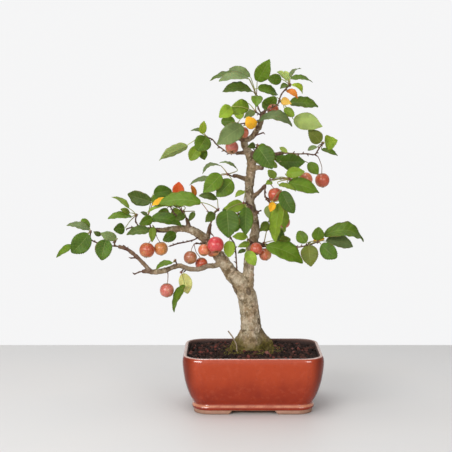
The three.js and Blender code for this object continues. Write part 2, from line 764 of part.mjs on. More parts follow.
// A prism across the feet whose section is wider at the table than at the pot's underside.
function footGap(gap, alongDepth) {
  const low = -1;
  const slope = (gap.bottom - gap.top) / FOOT_HEIGHT / 2;
  const topHalf = gap.top / 2;
  const lowHalf = gap.bottom / 2 - low * slope;
  const section = new THREE.Shape([
    new THREE.Vector2(-lowHalf, low),
    new THREE.Vector2(lowHalf, low),
    new THREE.Vector2(topHalf, FOOT_HEIGHT),
    new THREE.Vector2(-topHalf, FOOT_HEIGHT),
  ]);
  const depth = 2 * POT_LENGTH;
  const prism = new THREE.ExtrudeGeometry(section, { depth, bevelEnabled: false });
  prism.translate(0, 0, -depth / 2);
  prism.rotateX(Math.PI / 2);
  if (!alongDepth) prism.rotateZ(Math.PI / 2);
  return solidFromGeometry(prism);
}

function potSolid() {
  const shell = loft(POT_PROFILE.map(potRing));
  const sunk = FOOT_HEIGHT + 2;
  const outer = [[0, 1], [FOOT_HEIGHT, 0], [sunk, 0]].map(([z, taper]) => potRing([z, FOOT_INSET + taper]));
  const inner = [-1, FOOT_HEIGHT].map((z) => potRing([z, FOOT_INSET + FOOT_WALL]));
  const feet = loft(outer)
    .subtract(loft(inner))
    .subtract(footGap(FOOT_GAP_FRONT, true))
    .subtract(footGap(FOOT_GAP_SIDE, false));
  let pot = shell.add(feet);
  for (const side of [-1, 1]) {
    const drain = new THREE.CylinderGeometry(DRAIN_RADIUS, DRAIN_RADIUS, 4 * FLOOR_TOP, 14);
    drain.rotateX(Math.PI / 2);
    drain.translate(side * DRAIN_OFFSET, 0, FLOOR_TOP);
    pot = pot.subtract(solidFromGeometry(drain));
  }
  return pot;
}

function plate(side, thickness, x, y, z) {
  const box = new THREE.BoxGeometry(side, side, thickness);
  box.translate(x, y, z + thickness / 2);
  return solidFromGeometry(box);
}

// A square plastic screen with a grid of square openings, lying over a drain hole.
function screenSolid(x) {
  const low = FLOOR_TOP + GAP;
  const pitch = SCREEN_SIDE / (SCREEN_HOLES_A_SIDE + 0.5);
  const first = (-(SCREEN_HOLES_A_SIDE - 1) / 2) * pitch;
  const places = Array.from({ length: SCREEN_HOLES_A_SIDE }, (_, i) => first + i * pitch);
  let screen = plate(SCREEN_SIDE, SCREEN_THICKNESS, x, 0, low);
  for (const across of places) {
    for (const back of places) {
      const hole = plate(SCREEN_HOLE, 3 * SCREEN_THICKNESS, x + across, back, low - SCREEN_THICKNESS);
      screen = screen.subtract(hole);
    }
  }
  return screen;
}

// The trunk's section is a circle with shallow root lobes, flatter from front to back at the fork.
function trunkRing([x, y, height, radius, lobe, depth = 1], clearance = 0) {
  return Array.from({ length: TRUNK_SIDES }, (_, j) => {
    const angle = (j / TRUNK_SIDES) * 2 * Math.PI;
    const swell = 1 + lobe * Math.cos(5 * angle + 0.6) + 0.35 * lobe * Math.sin(2 * angle);
    const reach = radius * swell + clearance;
    return point(x + reach * Math.cos(angle), y + depth * reach * Math.sin(angle), height);
  });
}

function soilHeight(x, y) {
  const away = Math.hypot(x - TRUNK_FOOT.x, y - TRUNK_FOOT.y) / SOIL_MOUND_SPREAD;
  const grains = Math.sin(0.83 * x + 1.7 * Math.sin(0.31 * y)) * Math.cos(0.77 * y + 1.3 * Math.sin(0.37 * x));
  return SOIL_EDGE_HEIGHT + SOIL_MOUND * Math.exp(-away * away) + GRAIN_RELIEF * grains;
}

// Soil fills the pot up to a granular surface, with plain holes for what stands in it.
function soilSolid() {
  const fill = loft(SOIL_PROFILE.map(potRing));
  const lid = new THREE.BoxGeometry(POT_LENGTH, POT_DEPTH, 30, SOIL_COLUMNS, SOIL_ROWS, 1);
  const corners = lid.attributes.position;
  for (let i = 0; i < corners.count; i++) {
    const x = corners.getX(i);
    const y = corners.getY(i);
    corners.setZ(i, corners.getZ(i) < 0 ? soilHeight(x, y) : POT_HEIGHT + 30);
  }
  let soil = fill.subtract(solidFromGeometry(lid));
  const low = TRUNK[0];
  const under = [low[0], low[1], low[2] - HOLE_CLEARANCE, low[3], low[4]];
  const inSoil = [under, ...TRUNK.slice(0, 5)];
  soil = soil.subtract(loft(inSoil.map((station) => trunkRing(station, HOLE_CLEARANCE))));
  const foot = DRY_TWIG.map(([x, y, z, r], i) => [x, y, i ? z : z - HOLE_CLEARANCE, r + HOLE_CLEARANCE]);
  soil = soil.subtract(stem(foot, 6));
  for (const side of [-1, 1]) {
    const pocket = plate(SCREEN_SIDE + 2 * GAP, SCREEN_THICKNESS + 3 * GAP, side * DRAIN_OFFSET, 0, FLOOR_TOP);
    soil = soil.subtract(pocket);
  }
  return soil;
}

const sidesFor = (radius) => WOOD_SIDES.find(([stout]) => radius > stout)[1];

function pegBetween(from, bud, radius) {
  return stem([[...from, 1.2 * radius], [...bud, radius]], sidesFor(radius));
}

// Trunk, limbs, twigs and the short spurs that carry leaves and apples: all one grown piece.
function woodSolid() {
  const parts = [loft(TRUNK.map((station) => trunkRing(station)))];
  for (const stations of Object.values(BRANCHES)) {
    parts.push(stem(stations, sidesFor(stations[0][3])));
  }
  for (const spray of Object.values(SPRAYS)) {
    if (spray.from) parts.push(pegBetween(spray.from, spray.bud, SPUR_RADIUS));
  }
  for (const held of [...Object.values(TURNED), ...Object.values(FRUIT)]) {
    parts.push(pegBetween(held.from, held.bud, PEG_RADIUS));
  }
  return joined(parts);
}

// Directions of a blade. Roll 0 turns its upper side to the front, 90 turns it up.
function bladeFrame(base, tip, roll) {
  const along = tip.clone().sub(base);
  const length = along.length();
  along.normalize();
  const front = point(0, -1, 0).addScaledVector(along, along.y).normalize();
  const side = crossed(along, front);
  const level = Math.abs(side.z) <= 0.05;
  if (side.z < -0.05 || (level && side.x < 0)) side.negate();
  const turn = THREE.MathUtils.degToRad(roll);
  const face = front.multiplyScalar(Math.cos(turn)).addScaledVector(side, Math.sin(turn));
  return { along, face, across: crossed(along, face), length };
}

// Half-width along the blade as [share of length, share of half-width]: every other one is a tooth.
const BLADE_EDGE = [
  [0.09, 0.6],
  [0.33, 1.02],
  [0.62, 0.91],
  [0.86, 0.54],
];
const RIB_PLACES = [0.33, 0.68];

// Two sides and the underside of the petiole, as shares of its radius across and towards the face.
const PETIOLE_CORNERS = [
  [0.87, 0.5],
  [-0.87, 0.5],
  [0, -1],
];

// Half way a petiole rises a little. One that comes from beside or beyond its blade first turns
// round the blade's base, on the side of the bud.
function petioleMiddle(base, start, along, face) {
  const middle = start.clone().lerp(base, 0.55);
  middle.z += 0.07 * start.distanceTo(base);
  const reach = base.clone().sub(middle);
  if (reach.dot(along) > TURN_BACK * reach.length()) return middle;
  const side = Math.sign(start.clone().sub(base).dot(face));
  const bend = Math.min(PETIOLE_BEND, 0.4 * start.distanceTo(base));
  return base.clone().addScaledVector(along, -bend).addScaledVector(face, side * bend);
}

// A leaf is one skin: a three-sided petiole from the bud that opens into a thin arched blade with a
// cut edge, folded along its rib. The blade's two faces have the same triangles.
function leafSolid(row, start, startRadius = PETIOLE_RADII[2]) {
  const base = asPoint(row);
  const tip = asPoint(row.slice(3));
  const [width, roll, arch] = row.slice(6);
  const { along, face, across, length } = bladeFrame(base, tip, roll);
  const at = (t, half, lift) =>
    base
      .clone()
      .addScaledVector(along, t * length)
      .addScaledVector(across, half)
      .addScaledVector(face, 4 * arch * length * t * (1 - t) + lift);

  const middle = petioleMiddle(base, start, along, face);
  const spine = [base, middle, start];
  const inward = middle.clone().sub(start).normalize();
  const outward = base.clone().sub(middle).normalize();
  const headings = [along, inward.clone().add(outward).normalize(), inward];
  let corners = PETIOLE_CORNERS.map(([side, rise]) =>
    across.clone().multiplyScalar(side).addScaledVector(face, rise),
  );
  const radii = [PETIOLE_RADII[0], PETIOLE_RADII[1], startRadius];
  const petiole = spine.map((centre, i) => {
    const turn = new THREE.Quaternion().setFromUnitVectors(headings[Math.max(0, i - 1)], headings[i]);
    corners = corners.map((corner) => corner.clone().applyQuaternion(turn));
    return corners.map((corner) => centre.clone().addScaledVector(corner, radii[i]));
  });

  const rimPoints = [];
  for (const sign of [1, -1]) {
    BLADE_EDGE.forEach(([t, share], i) => {
      const half = 0.5 * width * share;
      const wave = (i % 2 ? 1 : -1) * BLADE_WAVE * width * sign;
      rimPoints.push(at(t, sign * half, BLADE_FOLD * half + wave));
    });
  }
  const upper = [...rimPoints, at(1, 0, 0), ...RIB_PLACES.map((t) => at(t, 0, -BLADE_WAVE * width))];
  const lower = upper.map((p) => p.clone().addScaledVector(face, -BLADE_THICKNESS));

  const [left, right, under] = [0, 1, 2];
  const count = upper.length;
  const edge = BLADE_EDGE.length;
  const first = 3 * spine.length;
  const tipPlace = first + 2 * edge;
  const [ribBase, ribTip] = [tipPlace + 1, tipPlace + 2];
  const halfFaces = (root, s) => [
    [root, s, ribBase],
    [s, s + 1, ribBase],
    [s + 1, s + 2, ribBase],
    [s + 2, ribTip, ribBase],
    [s + 2, s + 3, ribTip],
    [s + 3, tipPlace, ribTip],
  ];
  const flip = ([a, b, c]) => [a, c, b];
  const beneath = (corner) => (corner === under ? under : corner + count);
  const faces = [
    ...halfFaces(left, first),
    ...halfFaces(right, first + edge).map(flip),
    [left, ribBase, right],
    ...halfFaces(under, first).map((f) => flip(f.map(beneath))),
    ...halfFaces(under, first + edge).map((f) => f.map(beneath)),
    [left, under, first],
    [under, first + count, first],
    [under, right, first + edge],
    [under, first + edge, first + edge + count],
  ];
  for (const s of [first, first + edge]) {
    for (let k = 0; k < edge; k++) {
      const here = s + k;
      const next = k + 1 < edge ? here + 1 : tipPlace;
      const wall = [
        [here, here + count, next],
        [next, here + count, next + count],
      ];
      faces.push(...(s === first ? wall : wall.map(flip)));
    }
  }
  for (let i = 0; i + 1 < spine.length; i++) {
    for (let j = 0; j < 3; j++) {
      const a = 3 * i + j;
      const b = 3 * i + ((j + 1) % 3);
      faces.push([a, b, a + 3], [b, b + 3, a + 3]);
    }
  }
  const end = 3 * (spine.length - 1);
  faces.push([end, end + 1, end + 2]);
  return solidFrom([...petiole.flat(), ...upper, ...lower], faces);
}

// Where a spray sits: the end of its twig, the way the twig points there, and its radius.
function seatOf(spray) {
  if (spray.from) {
    const end = asPoint(spray.bud);
    return { end, way: end.clone().sub(asPoint(spray.from)).normalize(), radius: SPUR_RADIUS };
  }
  const stations = BRANCHES[spray.branch];
  const spine = new THREE.CatmullRomCurve3(stations.map(asPoint), false, "centripetal");
  return { end: spine.getPoint(1), way: spine.getTangent(1), radius: stations.at(-1)[3] };
}

function onward(seat, distance, radius) {
  const place = seat.end.clone().addScaledVector(seat.way, distance);
  return [...place.toArray(), radius];
}

// A spray is the swollen bud at the end of a twig with its leaves, fused.
function spraySolid(spray) {
  const seat = seatOf(spray);
  const bud = stem(
    [onward(seat, GAP, 1.05 * seat.radius), onward(seat, 2.1, 1.5 * seat.radius + 0.3), onward(seat, 4.8, 0.7)],
    5,
  );
  const heart = asPoint(onward(seat, 2.4));
  return joined([bud, ...spray.leaves.map((row) => leafSolid(row, heart))]);
}

// A single leaf starts a hair off its spur.
function turnedSolid(held) {
  const seat = seatOf(held);
  return leafSolid(held.leaf, asPoint(onward(seat, GAP + PETIOLE_RADII[0])), PETIOLE_RADII[0]);
}

// Little apples from the calyx to the stalk: [share of radius along the axis, share across it]
const APPLE_PROFILE = [
  [-1.05, 0.22],
  [-0.92, 0.34],
  [-0.6, 0.82],
  [-0.04, 1.02],
  [0.56, 0.84],
  [0.92, 0.34],
];
const APPLE_SIDES = 6;

// An apple and its stalk. The second stalk of a pair starts inside the first.
function appleSolids(apple, seat, order = 0) {
  const centre = asPoint(apple);
  const radius = apple[3];
  const hang = seat.end.clone().sub(centre).normalize().multiplyScalar(0.6);
  const up = hang.add(point(0, 0, 0.4)).normalize();
  const aside = crossed(up, Math.abs(up.y) < 0.9 ? point(0, 1, 0) : point(1, 0, 0)).normalize();
  const second = crossed(up, aside);
  const body = loft(
    APPLE_PROFILE.map(([rise, reach]) => {
      const middle = centre.clone().addScaledVector(up, rise * radius);
      return circle(middle, aside, second, reach * radius, APPLE_SIDES);
    }),
  );
  const root = onward(seat, GAP + 0.05 + 0.3 * order, 1 - 0.15 * order);
  const neck = onward(seat, 2 + 0.2 * order, 0.8 - 0.1 * order);
  const top = centre.clone().addScaledVector(up, 0.8 * radius);
  const drop = asPoint(neck).distanceTo(top);
  const middle = asPoint(neck).lerp(top, 0.5).addScaledVector(seat.way, 0.12 * drop);
  const stalk = stem([root, neck, [...middle.toArray(), 0.6], [...top.toArray(), 0.7]], 3);
  return [stalk, body];
}

function fruitSolid(bunch) {
  const seat = seatOf(bunch);
  return joined(bunch.apples.flatMap((apple, order) => appleSolids(apple, seat, order)));
}

const bonsai = new THREE.Group();

function addPiece(name, solid, color, roughness, metalness = 0) {
  const { numProp, vertProperties, triVerts } = solid.getMesh();
  const geometry = new THREE.BufferGeometry();
  const corners = new Float32Array((vertProperties.length / numProp) * 3);
  for (let i = 0; i < corners.length / 3; i++) {
    corners.set(vertProperties.subarray(i * numProp, i * numProp + 3), 3 * i);
  }
  geometry.setAttribute("position", new THREE.BufferAttribute(corners, 3));
  geometry.setIndex(new THREE.BufferAttribute(new Uint32Array(triVerts), 1));
  geometry.computeVertexNormals();
  const mesh = new THREE.Mesh(geometry, new THREE.MeshStandardMaterial({ color, roughness, metalness }));
  mesh.name = name;
  bonsai.add(mesh);
}

addPiece("pot", potSolid(), 0xa9402b, 0.25);
addPiece("soil", soilSolid(), 0x3f2c22, 0.95);
addPiece("drain_screen_left", screenSolid(-DRAIN_OFFSET), 0x23282a, 0.6);
addPiece("drain_screen_right", screenSolid(DRAIN_OFFSET), 0x23282a, 0.6);
addPiece("trunk_and_branches", woodSolid(), 0x8f7f66, 0.9);
addPiece("dry_twig", stem(DRY_TWIG, 5), 0x9a7a55, 0.9);
for (const [name, spray] of Object.entries(SPRAYS)) {
  addPiece(`leaves_${name}`, spraySolid(spray), BLADE_COLOURS[spray.leaves[0][9]], 0.55);
}
for (const [name, held] of Object.entries(TURNED)) {
  addPiece(`leaf_${name}`, turnedSolid(held), BLADE_COLOURS[held.leaf[9]], 0.6);
}
for (const [name, bunch] of Object.entries(FRUIT)) {
  addPiece(`fruit_${name}`, fruitSolid(bunch), APPLE_COLOURS[bunch.shade], 0.3);
}

// The part's origin is the middle of its whole outline, at table level.
const reach = new THREE.Box3().setFromObject(bonsai);
const middle = reach.getCenter(new THREE.Vector3());
bonsai.position.set(-middle.x, -middle.y, -reach.min.z);

const part = new THREE.Group();
part.add(bonsai);

export default part;
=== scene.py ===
import math
import random

import bpy
import numpy as np
from mathutils import Euler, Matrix, Vector, kdtree, noise


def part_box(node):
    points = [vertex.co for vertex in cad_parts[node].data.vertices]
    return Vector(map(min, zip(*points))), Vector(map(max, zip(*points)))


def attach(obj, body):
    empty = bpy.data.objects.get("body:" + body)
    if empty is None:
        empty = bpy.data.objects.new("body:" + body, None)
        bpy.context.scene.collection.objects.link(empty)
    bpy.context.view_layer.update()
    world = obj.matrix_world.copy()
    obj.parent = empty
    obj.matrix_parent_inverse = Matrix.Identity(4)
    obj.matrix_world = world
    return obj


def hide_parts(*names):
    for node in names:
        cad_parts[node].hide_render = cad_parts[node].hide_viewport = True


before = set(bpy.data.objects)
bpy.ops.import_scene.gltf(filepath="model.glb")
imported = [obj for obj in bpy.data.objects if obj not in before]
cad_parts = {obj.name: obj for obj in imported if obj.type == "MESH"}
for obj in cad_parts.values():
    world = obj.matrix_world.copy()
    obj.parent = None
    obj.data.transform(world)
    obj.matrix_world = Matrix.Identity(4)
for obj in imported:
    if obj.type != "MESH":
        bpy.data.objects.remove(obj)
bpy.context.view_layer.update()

bl_info = {
    "name": "Crabapple Bonsai",
    "version": (1, 0, 0),
    "blender": (4, 5, 0),
    "location": "3D View > Sidebar > Bonsai",
    "description": "Dresses the crabapple bonsai: glazed pot, soil, moss, wood, leaf sprays and apples",
    "category": "Object",
}

# Everything is laid out in millimetres from the pot's centre at table level, front at -Y.
MM = 0.001
POT_LOW, POT_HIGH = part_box("pot")
MIDDLE_X, MIDDLE_Y = (POT_LOW.x + POT_HIGH.x) / 2, (POT_LOW.y + POT_HIGH.y) / 2
ORIGIN = np.array([MIDDLE_X, MIDDLE_Y, 0.0])

# Pot
POT_LENGTH = 193.0
POT_DEPTH = 150.0
POT_CORNER_RADIUS = 28.0
CORNER_TIGHTENING = 0.35
CORNER_STEPS = 12
STRAIGHT_STEPS = (14, 9)
FOOT_HEIGHT = 5.0
FOOT_INSET = 15.0
FOOT_WALL = 13.0
FOOT_SUNK = 1.5
# Between two feet, first at the wall and then at the table
FRONT_GAP = (59.0, 68.0)
SIDE_GAP = (50.0, 59.0)
DRAIN_RADIUS = 7.0
DRAIN_OFFSET = 42.0
PROFILE_STEP = 1.5
RIM_WIDTH = 3.0
# [height, inset] from the underside, up over the rim and down to the floor
POT_PROFILE = [
    [5, 16.5], [6.2, 14.4], [9.6, 13], [13.4, 15.2], [16, 14.2], [21, 11.4], [30, 7.8], [44, 3.8],
    [60, 1.3], [68, 0.6], [73, 0.65], [76, 1.2], [78, 2.2], [79, 3.6], [79, 5.1], [77.6, 6.2],
    [52, 9], [24, 18], [12, 27],
]

# Soil
SOIL_PROFILE = [[12.3, 27.3], [24.3, 18.5], [52, 9.5], [70.4, 7.8]]
SOIL_EDGE_HEIGHT = 72.0
SOIL_EDGE_INSET = 7.9
WALL_CLEARANCE = 0.05
SOIL_MOUND = 6.5
SOIL_MOUND_SPREAD = 48.0
GRAIN_RELIEF = 0.9
BED_SINK = 1.9
TRUNK_CLEARANCE = 0.5

# Wood
TRUNK_FOOT = (-0.5, 9.0)
# [x, y, height, radius, depth of the root lobes, share of the radius kept front to back]
TRUNK = [
    [-1.6, 9, 46, 13, 0.02, 1], [-1.4, 9, 62, 21, 0.1, 1], [-1.5, 9, 74, 28, 0.13, 0.82],
    [-1.5, 9, 83, 26.6, 0.13, 0.84], [-1.4, 9, 91, 23.6, 0.12, 0.87], [-1.4, 9, 98, 18.4, 0.08, 0.93],
    [-1.6, 8.8, 105, 15.2, 0.04, 1], [-2.4, 8.6, 113, 14.3, 0.03, 1], [-3.4, 8.4, 123, 14, 0.03, 0.97],
    [-5.1, 8.2, 137, 13.6, 0.03, 0.93], [-7.8, 8, 150, 13.4, 0.03, 0.88], [-10.5, 8, 159, 13.4, 0.02, 0.81],
    [-12.5, 7.6, 166, 12.8, 0.01, 0.75], [-12.8, 7.2, 172, 9, 0, 0.8],
]
DRY_TWIG = [[-22, -14, 73, 1.2], [-22.5, -14, 86, 1.2], [-27, -14, 96, 1.1], [-34, -14, 106, 0.8]]
# Places on the trunk where a branch was cut: [x, y, height, radius of the healed ring]
SCARS = [[-4.2, -6, 160.6, 4.6], [9.5, -1, 118, 3.0], [-24, 3, 162, 4.2]]
NECK_HEIGHT = 106.0
THIN_WOOD = 2.4
TWIG_FULLNESS = 0.6
SPUR_RADIUS = 1.5
PEG_RADIUS = 1.1

# Leaves and apples
GAP = 0.3
BLADE_FOLD = 0.14
BLADE_WAVE = 0.02
PETIOLE_BEND = 2.5
TURN_BACK = 0.15
# Columns of a blade from edge to edge, and how much of the rib's ridge each has beneath
BLADE_COLUMNS = [-1, -0.76, -0.45, -0.14, 0, 0.14, 0.45, 0.76, 1]
RIDGE = np.array([0, 0, 0, 0.12, 1, 0.12, 0, 0, 0])
# [rise, reach] of an apple of radius 1, from its calyx to its stalk
APPLE_PROFILE = [
    [-0.79, 0.02], [-0.8, 0.1], [-0.87, 0.2], [-0.94, 0.34], [-0.9, 0.5], [-0.72, 0.75], [-0.4, 0.94],
    [0, 1.01], [0.36, 0.95], [0.64, 0.79], [0.85, 0.56], [0.94, 0.36], [0.92, 0.2], [0.84, 0.1], [0.78, 0.02],
]
APPLE_SIDES = 40
# A tip of the dry calyx: [below the middle, from the middle line, radius], for an apple of radius 1
SEPAL = [[0.78, 0.04, 0.07], [0.92, 0.08, 0.065], [1.01, 0.14, 0.045], [1.05, 0.22, 0.012]]
# How many numbers their finishes read at each corner
LEAF_READS = {"tint": 4, "blade": 3, "seed": 1}
APPLE_READS = {"ground": 4, "flush": 4, "fruit": 3, "seed": 1}

# Branches and twigs: [x, y, height, radius] along each
BRANCHES = {
    "leader": [
        [-10, 8, 156, 9], [-7, 8, 170, 8.4], [-6, 8, 185, 7.6], [-5, 7, 199, 7.2], [-2, 7, 216, 6.8],
        [2, 8, 233, 6.2], [4, 9, 247, 5.8], [2, 9, 262, 5.7], [-3, 8, 279, 5.8], [-5, 7, 300, 5.9],
        [-3, 8, 320, 6.2], [-2, 9, 338, 6.1], [-6, 8, 352, 5.5], [-11, 6, 361, 4.8], [-12, 5, 368, 4.2],
        [-6, 5, 370, 3.6], [0, 6, 374, 4], [4, 7, 380, 4.1], [9, 8, 388, 3.8], [12, 8, 397, 3.2],
        [12, 8, 406, 2.6],
    ],
    "left_main": [
        [-11, 8, 157, 12], [-18, 6, 171, 11.6], [-27, 4, 181, 10.2], [-36, 2, 194, 8.8], [-46, 3, 207, 8.2],
        [-56, 5, 219, 7.2], [-65, 8, 230, 6.6], [-78, 12, 240, 5.9], [-91, 16, 245, 5.2],
        [-110, 22, 244, 4.2], [-127, 26, 242, 3.5], [-144, 29, 243, 2.8], [-158, 31, 245, 2.3],
        [-170, 33, 245, 1.9], [-177, 34, 243, 1.4],
    ],
    "lower_left": [
        [-43, 2, 200, 5], [-52, -5, 196, 3.7], [-62, -11, 196, 3.5], [-73, -18, 193, 3.4],
        [-87, -25, 194, 3.3], [-100, -31, 199, 3.3], [-108, -35, 198, 3.3], [-119, -38, 194, 3.6],
        [-134, -42, 192, 3.6], [-142, -44, 193, 2.9], [-152, -46, 193, 2.2], [-160, -48, 190, 1.7],
    ],
    "far_left": [
        [-138, -43, 192, 3], [-143, -44, 198, 2.8], [-151, -45, 207, 2.7], [-159, -46, 215, 2.6],
        [-169, -47, 223, 2.4], [-180, -47, 227, 2.4], [-190, -46, 228, 2.3], [-203, -43, 230, 1.8],
        [-214, -41, 233, 1.6], [-220, -39, 237, 1.5], [-220, -38, 244, 1.4],
    ],
    "dark_shoot": [
        [-21, 3, 179, 2.2], [-22, -2, 192, 1.9], [-23, -6, 207, 1.8], [-24, -9, 219, 1.7],
        [-26, -12, 228, 1.6], [-30, -14, 234, 1.3],
    ],
    "right_lower": [
        [1, 8, 226, 4], [13, 2, 224, 2.9], [28, -8, 223, 2.4], [48, -20, 223, 2.1], [65, -30, 225, 1.9],
        [78, -35, 229, 1.8], [85, -38, 232, 1.6],
    ],
    "right_upper": [
        [0, 9, 342, 4], [13, 12, 346, 2.9], [30, 17, 349, 2.5], [48, 21, 350, 2.3], [63, 24, 349, 2.7],
        [76, 27, 349, 1.9], [87, 29, 348, 1.8], [91, 30, 353, 1.8], [94, 30, 358, 1.7], [97, 30, 362, 1.5],
    ],
    "right_stub": [[-1, 8, 329, 4], [7, 2, 331, 3.4], [14, -3, 330, 2.5]],
    "right_mid": [
        [-3, 8, 287, 4], [5, 4, 294, 2.8], [11, -1, 300, 2.6], [16, -6, 306, 2.4], [20, -10, 312, 2.3],
        [25, -15, 315, 2.1], [36, -24, 317, 1.9], [47, -32, 317, 1.7],
    ],
    "right_hang": [[17, -5, 305, 2.2], [16, -13, 296, 1.7], [18, -20, 289, 1.6], [22, -26, 285, 1.4]],
    "left_mid": [
        [-5, 7, 314, 4.4], [-15, 0, 317, 3], [-23, -8, 320, 2.7], [-29, -14, 320, 2.1],
        [-33, -18, 322, 1.5],
    ],
    "apex_right": [
        [12, 8, 404, 2.8], [18, 5, 409, 2.2], [26, 2, 413, 2], [34, -2, 418, 2.1], [36, -4, 425, 1.8],
        [39, -6, 432, 2], [44, -7, 438, 1.9], [48, -8, 442, 1.6],
    ],
    "apex_left": [[12, 8, 404, 2.4], [8, 6, 411, 1.7], [6, 5, 418, 1.5], [5, 4, 426, 1.4]],
    "left_upper": [
        [-7, 8, 352, 4], [-16, 11, 351, 2.6], [-25, 15, 350, 2.3], [-33, 18, 350, 2.2], [-42, 21, 356, 2.2],
        [-50, 24, 362, 2.1], [-56, 26, 369, 1.9], [-63, 28, 372, 1.5],
    ],
    "upper_twig": [[-12, 5, 368, 3], [-20, 1, 371, 2.3], [-29, -5, 374, 1.9], [-38, -12, 372, 1.4]],
    "twig_right": [[0, 6, 374, 2.4], [6, 1, 376, 1.6], [14, -4, 379, 1.1]],
    "knob_right": [[2, 9, 266, 3.6], [7, 2, 270, 2.2], [11, -3, 272, 1.8]],
    "pink_bud": [
        [-65, 8, 229, 4], [-61, 3, 240, 3.2], [-59, -3, 251, 2.5], [-55, -9, 262, 1.7],
        [-52, -14, 270, 1.5], [-49, -17, 273, 1.4],
    ],
    "side_stub": [[-89, 16, 244, 4], [-90, 12, 254, 2.8], [-93, 8, 263, 2], [-95, 6, 268, 1.5]],
    "left_bud": [[-157, 31, 245, 2.2], [-162, 30, 250, 2.1], [-164, 28, 256, 1.9], [-163, 27, 261, 1.5]],
    "left_top": [[-142, 29, 243, 2.7], [-144, 24, 251, 1.8], [-146, 19, 259, 1.5]],
    "left_under": [[-130, 26, 242, 3.2], [-132, 19, 242, 1.8], [-134, 13, 244, 1.4]],
    "thin_twig": [
        [-74, 11, 236, 3], [-79, 4, 232, 1.5], [-90, -2, 229, 1.2], [-103, -8, 227, 1.1],
        [-114, -14, 224, 0.9],
    ],
    "fruit_twig": [[-64, 6, 227, 4], [-72, -4, 226, 1.9], [-78, -10, 228, 1.4]],
    "low_stub": [[-156, -46, 212, 1.8], [-161, -48, 212, 1.2], [-165, -50, 212, 1]],
    "low_twig": [[-164, -46, 219, 1.8], [-170, -44, 224, 1.2], [-175, -42, 228, 0.9]],
    "hang_spur": [[-94, -29, 196, 2.6], [-96, -34, 193, 1.6], [-97, -38, 192, 1.3]],
    "low_spur": [[-103, -33, 199, 2.6], [-104, -36, 203, 1.6], [-105, -39, 206, 1.3]],
    "front_centre": [[-1, 9, 270, 4.4], [-5, -10, 279, 2.4], [-9, -32, 284, 2.1], [-13, -50, 286, 1.6]],
    "front_upper": [[-3, 9, 344, 4.4], [1, -8, 352, 2.3], [4, -26, 358, 1.9], [5, -38, 362, 1.5]],
    "back_centre": [[1, 10, 252, 4.4], [0, 30, 257, 2.6], [-9, 50, 260, 2.2], [-18, 70, 261, 1.6]],
    "back_upper": [[-2, 10, 333, 4.4], [5, 28, 339, 2.5], [17, 48, 342, 2.1], [27, 66, 345, 1.5]],
    "back_left": [[-101, 19, 244, 4], [-105, 34, 254, 2.3], [-111, 50, 264, 2], [-117, 66, 272, 1.5]],
    "back_right": [[2, 10, 238, 4.2], [10, 28, 242, 2.4], [23, 46, 245, 2], [33, 64, 247, 1.5]],
    "back_crown": [[11, 9, 394, 3], [3, 22, 394, 1.9], [-8, 35, 392, 1.7], [-19, 48, 390, 1.4]],
    "low_leaf": [[0, 8, 225, 4.6], [-3, -4, 228, 2], [-6, -14, 232, 1.5]],
    "crown_left": [[12, 9, 402, 2.8], [7, 1, 405, 1.6], [4, -6, 407, 1.4]],
    "leader_knot": [[8, 8, 385, 3.6], [4, -2, 387, 1.8], [2, -10, 389, 1.4]],
    "crown_right": [[35, -3, 420, 2], [37, 2, 421, 1.7], [39, 7, 421, 1.4]],
    "upper_mid": [[63, 24, 349, 2.6], [63, 20, 345, 2], [62, 17, 342, 1.5]],
}
# Where the spurs that carry a spray, a leaf or apples start and end
SPURS = {
    "right_inner": [[14, 1, 224], [15, -6, 227]], "far_left_inner": [[-187, -46, 228], [-186, -52, 233]],
    "yellow_curled": [[5, 6, 382], [4, -2, 383]], "yellow_crown": [[36, -4, 424], [37, -8, 423]],
    "orange_curled": [[45, -7, 439], [45, -10, 437]], "yellow_hang": [[19, -21, 288], [23, -30, 288]],
    "red_orange": [[-90, 12, 255], [-98, 20, 269]], "orange_upright": [[-56, -8, 260], [-62, -2, 271]],
    "yellow_left": [[-91, 10, 259], [-100, 13, 272]], "yellow_right": [[73, -33, 227], [76, -38, 232]],
    "yellow_low": [[-90, -26, 194], [-94, -30, 191]], "pink_upper": [[-30, 17, 350], [-29, 8, 353]],
    "orange_upper": [[-13, 5, 367], [-13, -8, 369]], "red_crown": [[26, 2, 413], [27, 5, 416]],
    "orange_right": [[35, -23, 317], [44, -22, 318]], "red_right": [[87, 29, 348], [90, 29, 346]],
    "red_mid": [[21, -12, 313], [24, -15, 309]], "red_hidden": [[17, -18, 291], [24, -12, 288]],
    "bright_red": [[-61, 2, 242], [-56, -14, 240]], "amber_pair": [[-67, 8, 232], [-63, -7, 231]],
    "brown_pair": [[-75, -7, 227], [-79, -11, 227]], "centre_pair": [[7, 4, 225], [8, -6, 225]],
    "left_pair": [[-134, 28, 242], [-135, 21, 239]], "hanging_pink": [[-117, -38, 195], [-116, -39, 191]],
}
